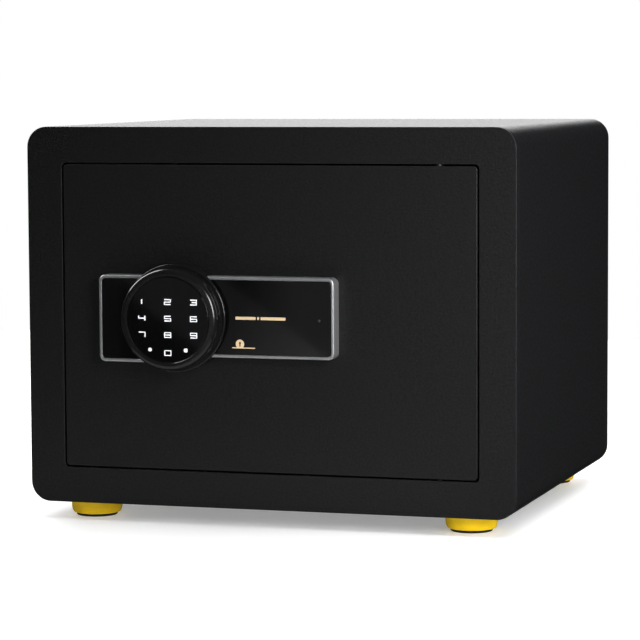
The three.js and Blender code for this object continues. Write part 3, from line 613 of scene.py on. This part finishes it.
def feet():
    for name in FEET:
        box = Box(name)
        dress(loft(f"{name}_moulding", plan_circle(box), foot_profile(box), standing), name)
        node = name.replace("foot_", "foot_pad_")
        sole = Box(node)
        profile = sole_profile(sole.low.z, sole.high.z)
        dress(loft(f"{name}_sole", plan_circle(sole), profile, standing), node)


def mat():
    """The carpet mat on the cabinet's floor, with a rounded rim."""
    box = Box("floor_mat")
    outline = rounded_rect(box.size.x, box.size.y, 8 * MM, box.middle.x, box.middle.y)
    piece = loft("carpet_mat", outline, eased(box.low.z, box.high.z, 1.1 * MM), standing)
    dress(piece, "floor_mat")


# ---------------------------------------------------------------- pressed and folded metal

BEVELLED = 50  # degrees between two faces from which their edge is rounded


def refined(node, ease):
    """The CAD solid with its flat facets merged into whole faces and its sharp edges rounded."""
    mesh = frame["nodes"][node].data.copy()
    mesh.name = f"{node}_finished"
    work = bmesh.new()
    work.from_mesh(mesh)
    bmesh.ops.remove_doubles(work, verts=work.verts, dist=1e-6)
    bmesh.ops.dissolve_limit(work, angle_limit=math.radians(1), verts=work.verts, edges=work.edges)
    paired = [edge for edge in work.edges if len(edge.link_faces) == 2]
    sharp = [edge for edge in paired if edge.calc_face_angle(0) > math.radians(BEVELLED)]
    bmesh.ops.bevel(
        work, geom=sharp, offset=ease, segments=2, profile=0.5, affect="EDGES", clamp_overlap=True,
    )
    work.to_mesh(mesh)
    work.free()
    piece = bpy.data.objects.new(mesh.name, mesh)
    bpy.context.scene.collection.objects.link(piece)
    dress(piece, node)


# How far, in millimetres, the edges of each of these nodes are rounded.
REFINED = {
    "strike_jamb": 0.4, "door_stop_upper": 0.5, "door_stop_lower": 0.5,
    "stop_buffer_upper": 0.7, "stop_buffer_lower": 0.7,
    "hinge_lug_upper": 0.5, "hinge_lug_lower": 0.5, "hinge_arm_upper": 0.5, "hinge_arm_lower": 0.5,
    "bolt_guide_upper": 0.4, "bolt_guide_lower": 0.4, "mechanism_cover": 0.35,
    "battery_tray": 0.25, "battery_lid": 0.3, "solenoid_body": 0.6,
    "bolt_carriage": 0.3, "bolt_cam": 0.3, "lock_lever": 0.3, "control_board": 0.12,
}


# ---------------------------------------------------------------- door

COVER_SCREWS = [f"cover_screw_{i}" for i in range(1, 5)]


def door_skin():
    """The door plate, pierced for the spindle, the lock and the cover's screws."""
    outline = rounded_rect(door.size.x, door.size.z, 3 * MM, door.middle.x, door.middle.z)
    plate = loft("door_skin", outline, eased(door.low.y, door.high.y, 0.6 * MM))
    lock = Box("lock_body")
    through = (door.low.y - CLEAR, door.high.y + CLEAR)
    holes = [circle(SPINDLE_HOLE, knob.middle.x, knob.middle.z, SMALL)]
    holes.append(circle(9.8 * MM, lock.middle.x, lock.middle.z, SMALL))
    tools = [tool_bar(hole, *through) for hole in holes]
    for screw in map(Box, COVER_SCREWS):
        tap = circle(2.3 * MM, screw.middle.x, screw.middle.z, SMALL)
        tools.append(tool_bar(tap, screw.low.y - 0.4 * MM, door.high.y + CLEAR))
    dress(cut(plate, *tools), "door_plate")


def hinge_pins():
    """Each pin is let into its arm, carries a collar between arm and lug, and has a chamfered end."""
    for side, sign in (("upper", 1), ("lower", -1)):
        box = Box(f"hinge_pin_{side}")
        arm = Box(f"hinge_arm_{side}")
        lug = Box(f"hinge_lug_{side}")
        near, far = (arm.high.z, lug.low.z) if sign > 0 else (arm.low.z, lug.high.z)
        start, end = (box.low.z, box.high.z) if sign > 0 else (box.high.z, box.low.z)
        edge = 0.4 * MM
        gap, step = sign * GAP, sign * edge
        neck = MM
        profile = [
            (neck, start), (neck, near + gap), (edge, near + gap), (0, near + gap + step),
            (0, far - gap - step), (edge, far - gap), (neck, far - gap),
            (neck, end - sign * MM), (1.3 * MM, end - step), (2 * MM, end),
        ]
        pin = loft(f"hinge_pin_{side}_turned", plan_circle(box, SMALL), profile, standing)
        dress(pin, f"hinge_pin_{side}", material="dull_steel")


def cross_recess(x, z, face, depth, reach):
    """Two crossed bars that cut a screw's recess."""
    wide, corner = 0.9 * MM, 0.1 * MM
    sizes = ((2 * reach, wide), (wide, 2 * reach))
    bars = [rounded_rect(*size, corner, x, z, 2) for size in sizes]
    return [tool_bar(bar, face - depth, face + CLEAR) for bar in bars]


def cover_screws():
    """Domed screws with a cross recess."""
    for node in COVER_SCREWS:
        box = Box(node)
        seat = box.high.y - 2.4 * MM
        radius = box.size.x / 2
        shank = radius - 2 * MM
        edge = 0.1 * MM
        dome = []
        for a in quarter(6):
            inset = radius * 0.36 * (1 - math.cos(a)) + edge * math.sin(a)
            dome.append((inset, seat + 0.8 * MM + 1.6 * MM * math.sin(a)))
        profile = [(shank, box.low.y), (shank, seat), (edge, seat), (0, seat + 0.2 * MM), *dome]
        screw = loft(f"{node}_turned", face_circle(box, SMALL), profile)
        recess = cross_recess(box.middle.x, box.middle.z, box.high.y, 1.2 * MM, 2 * MM)
        dress(cut(screw, *recess), node)


# ---------------------------------------------------------------- control panel

PANEL_CORNER = 5 * MM
RIM = 2.4 * MM  # the width of the silver rim round the fascia
BEND_STEPS = 10  # facets of each bend of the panel's outline
PIN_HOLE = (1.1 * MM, 47 * MM)  # its radius and its place across


def panel_outline(inset, corner=PANEL_CORNER):
    """The panel's outline, whose lower edge steps up at the knob's axis."""
    left, right = panel.low.x + inset, panel.high.x - inset
    low, high = panel.low.z + inset, panel.high.z - inset
    step = (knob.middle.x - inset, Box("key_cover").low.z - RIM - GAP + inset)
    outward = max(corner - inset, SHARPEST)
    bends = [
        (right, step[1], -1, 1, outward, -90, 0), (right, high, -1, -1, outward, 0, 90),
        (left, high, 1, -1, outward, 90, 180), (left, low, 1, 1, outward, 180, 270),
        (step[0], low, -1, 1, outward, 270, 360), (*step, 1, -1, corner + inset, 180, 90),
    ]
    points = []
    for x, z, across, up, radius, start, end in bends:
        for i in range(BEND_STEPS + 1):
            angle = math.radians(start + (end - start) * i / BEND_STEPS)
            around = (radius * math.cos(angle), radius * math.sin(angle))
            points.append((x + across * radius + around[0], z + up * radius + around[1]))
    return points


def shrunk(amount, corner):
    """The panel's outline drawn in by a fixed amount, with its own corner radius."""
    return lambda inset: panel_outline(amount + inset, corner + amount)


def bezel():
    """The silver housing: a rounded rim round a pocket, and a hollow behind the pocket's floor."""
    front, back = panel.low.y, panel.high.y
    rim = rounded_rim(front, 1.3 * MM, 5)
    body = loft("panel_bezel", panel_outline, [(0, back), (0, front + 3 * MM), *rim])
    floor, thick = front + 2.6 * MM, 2.4 * MM
    edge = 0.4 * MM
    lip = RIM - edge
    mouth = [(lip, front - CLEAR), (lip, front - 0.01 * MM), (RIM, front + edge), (RIM, floor)]
    pocket = loft("tool", panel_outline, mouth)
    hollow = tool_bar(shrunk(4 * MM, 2 * MM), floor + thick, back + CLEAR)
    lock = Box("lock_body")
    holes = [circle(SPINDLE_HOLE, knob.middle.x, knob.middle.z, SMALL)]
    holes.append(circle(10.3 * MM, lock.middle.x, lock.middle.z, SMALL))
    tools = [tool_bar(hole, front - CLEAR, back + CLEAR) for hole in holes]
    dress(cut(body, pocket, hollow, *tools), "panel_housing")


def fascia_pieces():
    """The gloss fascia, split by an arc round the knob's base into a fixed part and the key cover."""
    box = Box("fascia_left")
    seam = Box("knob_base").size.x / 2 + 0.6 * MM
    inset = RIM + GAP
    face = eased(box.low.y, box.high.y, 0.25 * MM)
    reach = (box.low.y - CLEAR, box.high.y + CLEAR)

    def whole(name):
        return loft(name, shrunk(inset, PANEL_CORNER - 1.9 * MM), face)

    def right_half():
        wide = 0.4
        side = rounded_rect(wide, wide, MM, knob.middle.x + wide / 2, knob.middle.z, 2)
        return tool_bar(side, *reach)

    def ring(radius):
        return tool_bar(circle(radius, knob.middle.x, knob.middle.z), *reach)

    outside = cut(right_half(), ring(seam - GAP))
    spindle = tool_bar(circle(SPINDLE_HOLE, knob.middle.x, knob.middle.z, SMALL), *reach)
    dress(cut(whole("fascia_fixed"), outside, spindle), "fascia_left")
    pin_hole = tool_bar(circle(*PIN_HOLE, knob.middle.z, SMALL), *reach)
    right = combine(whole("key_cover_plate"), [right_half()], "INTERSECT")
    dress(cut(right, ring(seam), pin_hole), "key_cover")


def gold_marks():
    """A plain gold line, and below it a keyhole disc on a short underline, thin inlays on the cover."""
    face = Box("key_cover").low.y
    proud, deep, edge = face - 0.12 * MM, face + 0.2 * MM, 0.05 * MM
    inlay = [(0, deep), (0, proud + edge), (edge, proud)]
    line_z = knob.middle.z + 0.9 * MM
    dashes = []
    for left, right in ((-21.2, -4.6), (-3.4, -1.8), (-0.6, 19.8)):
        length, middle = (right - left) * MM, (left + right) / 2 * MM
        dashes.append(loft("gold_line", rounded_rect(length, 2.3 * MM, 0.5 * MM, middle, line_z, 4), inlay))
    dress(add(*dashes), slot="brass", material="gold_ink_painted_glow", body="key_cover")
    x, z = -17.6 * MM, knob.middle.z - 19.3 * MM
    disc = loft("keyhole_mark", circle(3.5 * MM, x, z, SMALL), inlay)
    reach = (face - CLEAR, face + CLEAR)
    eye = tool_bar(circle(0.85 * MM, x, z + 0.8 * MM, SMALL), *reach)
    stem = tool_bar(rounded_rect(0.9 * MM, 2.6 * MM, 0.1 * MM, x, z - 0.6 * MM, 2), *reach)
    underline = rounded_rect(19 * MM, 0.8 * MM, 0.3 * MM, x + 3 * MM, z - 3.0 * MM, 3)
    under = loft("tool", underline, [(0, deep), (0, proud)])
    dress(add(cut(disc, eye, stem), under), slot="brass", material="gold_ink_painted_glow", body="key_cover")


def knob_base():
    """The ring behind the knob, cut out where the panel passes under it."""
    box = Box("knob_base")
    front, back = box.low.y, box.high.y
    bore = box.size.x / 2 - SPINDLE_HOLE
    profile = [(bore, back), (0, back), *rounded_rim(front, 1.0 * MM, 5), (bore, front)]
    body = loft("knob_base_turned", face_circle(box), profile, closed=True)
    space = tool_bar(shrunk(-GAP, PANEL_CORNER), panel.low.y - GAP, back + CLEAR)
    dress(cut(body, space), "knob_base")


def knob_pieces():
    """The knob: a shell with a broad rounded shoulder, a lens let into it and a board behind the lens."""
    radius = knob.size.x / 2
    front, back = knob.low.y, knob.high.y
    board = Box("keypad_board")
    recess = radius - lens.size.x / 2 - GAP
    floor = board.high.y + GAP
    wall = 3 * MM
    lip = 0.5 * MM
    edge = 0.25 * MM
    shoulder = rounded_rim(front, 4.2 * MM, 12)
    hub, bore = radius - 9 * MM, radius - 4.8 * MM
    profile = [
        (lip, back), (0.1 * MM, back - 0.4 * MM), (0, back - 2 * MM), *shoulder,
        (recess - edge, front), (recess, front + edge), (recess, floor), (bore, floor),
        (bore, back), (hub, back), (hub, floor + wall), (wall, floor + wall), (wall, back),
    ]
    dress(loft("knob_turned", face_circle(knob), profile, closed=True), "knob_shell")
    glass = loft("keypad_glass", face_circle(lens), eased(lens.low.y, lens.high.y, 0.3 * MM))
    dress(glass, "keypad_lens")
    circuit = loft("keypad_circuit", face_circle(board), eased(board.low.y, board.high.y, 0.15 * MM))
    dress(circuit, "keypad_board")


# Each glyph is a list of strokes on a unit square, drawn as a display would.
GLYPHS = {
    "1": [[(0.5, 1), (0.5, 0)]],
    "2": [[(0, 1), (1, 1), (1, 0.5), (0, 0.5), (0, 0), (1, 0)]],
    "3": [[(0, 1), (1, 1), (1, 0), (0, 0)], [(0.25, 0.5), (1, 0.5)]],
    "4": [[(0, 1), (0, 0.5), (1, 0.5)], [(1, 1), (1, 0)]],
    "5": [[(1, 1), (0, 1), (0, 0.5), (1, 0.5), (1, 0), (0, 0)]],
    "6": [[(1, 1), (0, 1), (0, 0), (1, 0), (1, 0.5), (0, 0.5)]],
    "7": [[(0, 1), (1, 1), (1, 0)]],
    "8": [[(0, 0.5), (0, 1), (1, 1), (1, 0), (0, 0), (0, 0.5), (1, 0.5)]],
    "9": [[(0, 0), (1, 0), (1, 1), (0, 1), (0, 0.5), (1, 0.5)]],
    "0": [[(0, 0.5), (0, 1), (1, 1), (1, 0), (0, 0), (0, 0.5)]],
    "star": [[(0.5, 1), (0.5, 0)], [(0.07, 0.75), (0.93, 0.25)], [(0.07, 0.25), (0.93, 0.75)]],
    "hash": [
        [(0.3, 0), (0.3, 1)], [(0.7, 0), (0.7, 1)], [(0, 0.3), (1, 0.3)], [(0, 0.7), (1, 0.7)],
    ],
}
KEY_ROWS = [("123", 13.8 * MM), ("456", 0.9 * MM), ("789", -11.9 * MM)]  # heights above the knob's axis
KEY_COLUMN = 21.4 * MM
LAST_KEY = -26 * MM
SYMBOL_KEYS = {"side": 14.8 * MM, "height": -23.6 * MM, "size": 3 * MM}
DIGIT = (5.1 * MM, 3.7 * MM)  # width and height
STROKE = 0.52 * MM  # half the width of a printed line
INK = 0.16  # how thick a printed line is for its width


def glyph_strokes(glyph, x, z, width, height):
    lines = GLYPHS[glyph]
    return [[(x + (u - 0.5) * width, z + (v - 0.5) * height) for u, v in line] for line in lines]


def keypad_print():
    """The digits, star and hash: white strokes that stand a hair proud of the lens."""
    strokes = []
    for row, height in KEY_ROWS:
        for column, digit in enumerate(row):
            x = knob.middle.x + (column - 1) * KEY_COLUMN
            strokes += glyph_strokes(digit, x, knob.middle.z + height, *DIGIT)
    strokes += glyph_strokes("0", knob.middle.x, knob.middle.z + LAST_KEY, *DIGIT)
    for glyph, side in (("star", -1), ("hash", 1)):
        x = knob.middle.x + side * SYMBOL_KEYS["side"]
        z = knob.middle.z + SYMBOL_KEYS["height"]
        strokes += glyph_strokes(glyph, x, z, SYMBOL_KEYS["size"], SYMBOL_KEYS["size"])
    curve = bpy.data.curves.new("keypad_print", "CURVE")
    curve.dimensions = "3D"
    curve.bevel_depth = STROKE
    curve.bevel_resolution = 2
    curve.use_fill_caps = True
    for line in strokes:
        spline = curve.splines.new("POLY")
        spline.points.add(len(line) - 1)
        for point, (u, v) in zip(spline.points, line):
            point.co = (u, 0, v, 1)
    drawn = bpy.data.objects.new("keypad_strokes", curve)
    bpy.context.scene.collection.objects.link(drawn)
    bpy.context.view_layer.update()
    graph = bpy.context.evaluated_depsgraph_get()
    mesh = bpy.data.meshes.new_from_object(drawn.evaluated_get(graph))
    bpy.data.objects.remove(drawn)
    flat = Matrix.Translation((0, lens.low.y, 0)) @ Matrix.Diagonal((1, INK, 1, 1))
    mesh.transform(flat)
    piece = bpy.data.objects.new("keypad_print", mesh)
    bpy.context.scene.collection.objects.link(piece)
    dress(piece, slot="gloss_black", material="white_ink_painted_glow", body="knob")


# ---------------------------------------------------------------- works inside the door

def bolts():
    """Two round bolts with a rounded nose; a thinner neck is held in the carriage."""
    carriage = Box("bolt_carriage")
    for side in ("upper", "lower"):
        box = Box(f"bolt_{side}")
        ring = circle(box.size.z / 2, box.middle.y, box.middle.z)
        shoulder = carriage.low.x - GAP
        neck = box.size.z / 2 - 4.6 * MM
        tip, edge, chamfer = 2 * MM, 0.4 * MM, 0.6 * MM
        nose = [(tip * (1 - math.sin(a)), box.low.x + tip * (1 - math.cos(a))) for a in quarter(4)]
        profile = [*nose, (0, shoulder - edge), (edge, shoulder), (neck, shoulder)]
        profile += [(neck, box.high.x - chamfer), (neck + chamfer, box.high.x)]
        dress(loft(f"bolt_{side}_turned", ring, profile, lying), f"bolt_{side}")


def spindle():
    box = Box("spindle")
    profile = eased(box.low.y, box.high.y, 0.5 * MM)
    dress(loft("spindle_turned", face_circle(box, SMALL), profile), "spindle")


def override_lock():
    """The key lock: a flanged body, and a plug with a keyway."""
    body = Box("lock_body")
    plug = Box("lock_plug")
    outer = 9.5 * MM
    flange = body.size.x / 2
    lip = flange - outer
    bore = flange - 6.3 * MM
    face = door.low.y - 2.3 * MM
    seat = door.low.y - GAP
    chamfer, edge = 0.4 * MM, 0.3 * MM
    profile = [
        (lip + chamfer, body.low.y), (lip, body.low.y + chamfer), (lip, face), (edge, face),
        (0, face + edge), (0, seat), (lip, seat), (lip, body.high.y),
        (bore, body.high.y), (bore, body.low.y),
    ]
    dress(loft("lock_body_turned", face_circle(body), profile, closed=True), "lock_body")
    tail = plug.size.x / 2 - 3 * MM
    end = body.high.y + GAP
    profile = [(edge, plug.low.y), (0, plug.low.y + edge), (0, end), (tail, end), (tail, plug.high.y)]
    piece = loft("lock_plug_turned", face_circle(plug), profile)
    keyway = rounded_rect(2 * MM, 8 * MM, 0.3 * MM, plug.middle.x, plug.middle.z, 2)
    dress(cut(piece, tool_bar(keyway, plug.low.y - CLEAR, plug.low.y + 7 * MM)), "lock_plug")


def latch():
    """The solenoid's plunger, with the collar that its spring bears on."""
    box = Box("solenoid_plunger")
    coil = Box("solenoid_body")
    collar = coil.high.z + 8 * MM
    thin = box.size.x / 2 - 3 * MM
    edge = 0.3 * MM
    profile = [
        (thin, box.low.z), (thin, collar), (edge, collar), (0, collar + edge),
        (0, collar + 1.7 * MM), (edge, collar + 2 * MM), (thin, collar + 2 * MM),
        (thin, box.high.z - MM), (thin + MM, box.high.z),
    ]
    dress(loft("plunger_turned", plan_circle(box, SMALL), profile, standing), "solenoid_plunger")


def reset_button():
    box = Box("reset_button")
    cap, bend = 1.5 * MM, 1.4 * MM
    flange = box.low.y + 2 * MM
    dome = [(cap + bend * (1 - math.cos(a)), box.high.y - bend * (1 - math.sin(a))) for a in quarter(5)]
    profile = [(0, box.low.y), (0, flange), (cap, flange), *dome]
    dress(loft("reset_button_moulded", face_circle(box, SMALL), profile), "reset_button")


def battery_cells():
    """Four cells, every other one turned round, with chamfered ends and a pip at the positive end."""
    for i in range(1, 5):
        node = f"battery_cell_{i}"
        box = Box(node)
        facing = 1 if i % 2 else -1
        tip, tail = (box.high.x, box.low.x) if facing > 0 else (box.low.x, box.high.x)
        radius = box.size.z / 2
        crimp = 0.7 * MM
        shoulder = tip - facing * 1.5 * MM
        profile = [
            (crimp, tail), (0, tail + facing * crimp), (0, shoulder - facing * crimp), (crimp, shoulder),
            (radius - 2.7 * MM, shoulder), (radius - 2.7 * MM, tip - facing * 0.3 * MM),
            (radius - 2.4 * MM, tip),
        ]
        ring = circle(radius, box.middle.y, box.middle.z, SMALL)
        dress(loft(f"{node}_turned", ring, profile, lying), node)


def keep_cad(*nodes):
    """Small hidden CAD nodes that keep their shape and get a full material."""
    for node in nodes:
        piece = frame["nodes"][node]
        piece.data.materials.clear()
        piece.data.materials.append(MATERIALS[SLOT_OF[node]])


# ---------------------------------------------------------------- stage, lights and camera

def stage_pieces():
    """A pale sheet under the safe, wide enough to catch its soft shadow."""
    width, depth, corner = 2.0, 2.2, 0.3
    behind, thick = 0.35, 0.02
    outline = rounded_rect(width, depth, corner, 0.0, behind)
    floor = loft("pale_floor", outline, [(0, -thick), (0, cad_bounds[0][2])], standing)
    paint = Paint(
        "pale_floor", (0.9, 0.9, 0.9), 0.5, Specular_IOR_Level=0.3,
        Emission_Color=(1, 1, 1, 1), Emission_Strength=0.3,
    )
    paint.mottle(3, 0.005).rough(8, 0.03)
    floor.data.materials.append(paint.material)
    floor.visible_glossy = False


def area_light(name, place, target, size, radiance, spread=180, **seen_by):
    """A rectangular lamp of the given radiance that faces the target; seen_by turns kinds of ray off."""
    data = bpy.data.lights.new(name, "AREA")
    data.shape = "RECTANGLE"
    data.size, data.size_y = size
    data.energy = math.pi * size[0] * size[1] * radiance
    data.spread = math.radians(spread)
    lamp = bpy.data.objects.new(name, data)
    lamp.location = place
    lamp.rotation_mode = "QUATERNION"
    lamp.rotation_quaternion = (Vector(target) - Vector(place)).to_track_quat("-Z", "Y")
    lamp.visible_camera = False
    for ray, seen in seen_by.items():
        setattr(lamp, f"visible_{ray}", seen)
    bpy.context.scene.collection.objects.link(lamp)


def reflector(name, place, size, tilt, ramp, glow):
    """A dim card facing the door, seen only in its reflections.
    Its glow changes from one strength to the other over the ramp, a stretch along its own X."""
    corner = thick = 4 * MM
    outline = rounded_rect(*size, corner, steps=2)
    card = loft(name, outline, [(0, 0), (0, thick)])
    card.location = place
    card.rotation_euler = (0, math.radians(tilt), 0)
    paint = Paint(name, (0, 0, 0), 1.0, Specular_IOR_Level=0.0, Emission_Color=(1, 1, 1, 1))
    strength = paint.remap(paint.along_x(), *ramp, *glow)
    paint.link(strength, paint.shader.inputs["Emission Strength"])
    card.data.materials.append(paint.material)
    card.visible_camera = card.visible_diffuse = card.visible_shadow = False


# Each lamp's name, place, target, size, radiance, and the rest of what area_light takes.
LAMPS = [
    ("ceiling", (0, 0.5, 2.2), (0, 0.3, 0), (3.2, 2.8), 3.4, {"glossy": False}),
    ("horizon", (-1.3, 2.7, 1.1), (-0.3, 0, 0.5), (2.6, 2.2), 2.9, {"diffuse": False}),
    ("left_softbox", (-1.45, 0.1, 1.35), knob.middle, (1.0, 1.4), 8, {"diffuse": False}),
    ("front_key", (0.62, -0.8, 0.4), (0.2, -0.15, cabinet.middle.z), (0.35, 0.5), 2.3, {"spread": 70}),
    ("side_key", (1.1, -0.25, 0.5), (0.2, -0.1, cabinet.middle.z), (0.3, 0.5), 11, {"glossy": False}),
    ("floor_glow", (-0.1, -0.33, 0.002), (-0.1, -0.33, 1), (0.5, 0.26), 0.35, {"diffuse": False}),
]
# Each card's name, place, size, tilt in degrees, ramp and glow.
CARDS = [
    ("band_card", (-0.457, -1.4, 0.047), (0.42, 0.081), 36, (0.0, 0.13), (0.12, 0.46)),
    ("left_card", (-0.66, -1.4, 0.07), (0.12, 0.3), 0, (-0.06, 0.06), (0.05, 0.05)),
    ("sweep_card", (-0.045, -1.42, 0.11), (0.83, 0.8), 0, (-0.41, -0.33), (0.01, 0.18)),
]
WHITE = (1.0, 1.0, 1.0, 1.0)
PALE_BLUE = (0.94, 0.97, 1.0, 1.0)


def studio():
    """A bright ceiling for the floor, a card behind for the top, and small lamps for the black front.
    The world is white to the camera and almost dark to everything else."""
    for *placing, options in LAMPS:
        area_light(*placing, **options)
    for card in CARDS:
        reflector(*card)
    world = bpy.data.worlds.new("studio")
    world.use_nodes = True
    tree = world.node_tree
    seen, cast = tree.nodes["Background"], tree.nodes.new("ShaderNodeBackground")
    seen.inputs["Color"].default_value = WHITE
    seen.inputs["Strength"].default_value = 1.0
    cast.inputs["Color"].default_value = PALE_BLUE
    cast.inputs["Strength"].default_value = 0.025
    mix = tree.nodes.new("ShaderNodeMixShader")
    rays = tree.nodes.new("ShaderNodeLightPath")
    tree.links.new(rays.outputs["Is Camera Ray"], mix.inputs["Fac"])
    tree.links.new(cast.outputs["Background"], mix.inputs[1])
    tree.links.new(seen.outputs["Background"], mix.inputs[2])
    tree.links.new(mix.outputs["Shader"], tree.nodes["World Output"].inputs["Surface"])
    bpy.context.scene.world = world
    bpy.context.scene.view_settings.view_transform = "Standard"


VIEW_ANGLES = [math.radians(angle) for angle in (17.474, 4.99, -0.31)]  # yaw, pitch and roll
VIEW_DISTANCE = 2.2229
FOCAL_LENGTH = 161.4  # in millimetres, as the sensor's width is
SENSOR_WIDTH = 36


def camera():
    """A long lens to the right of the door and slightly above its middle."""
    yaw, pitch, roll = VIEW_ANGLES
    target = Vector((43.7 * MM, FRONT, cabinet.middle.z + 0.7 * MM))
    level = math.cos(pitch)
    forward = Vector((-math.sin(yaw) * level, math.cos(yaw) * level, -math.sin(pitch)))
    right = Vector((math.cos(yaw), math.sin(yaw), 0))
    up = right.cross(forward)
    across = math.cos(roll) * right + math.sin(roll) * up
    upward = -math.sin(roll) * right + math.cos(roll) * up
    data = bpy.data.cameras.new("camera")
    data.sensor_width = SENSOR_WIDTH
    data.lens = FOCAL_LENGTH
    eye = bpy.data.objects.new("camera", data)
    turn = Matrix((across, upward, -forward)).transposed().to_4x4()
    eye.matrix_world = Matrix.Translation(target - VIEW_DISTANCE * forward) @ turn
    bpy.context.scene.collection.objects.link(eye)
    bpy.context.scene.camera = eye


# ---------------------------------------------------------------- build

camera()
cabinet_pieces()
feet()
mat()
for node, ease in REFINED.items():
    refined(node, ease * MM)
door_skin()
hinge_pins()
cover_screws()
bezel()
fascia_pieces()
gold_marks()
knob_base()
knob_pieces()
keypad_print()
bolts()
spindle()
override_lock()
latch()
reset_button()
battery_cells()
keep_cad("solenoid_spring", "battery_lead", "solenoid_lead")
stage_pieces()
studio()
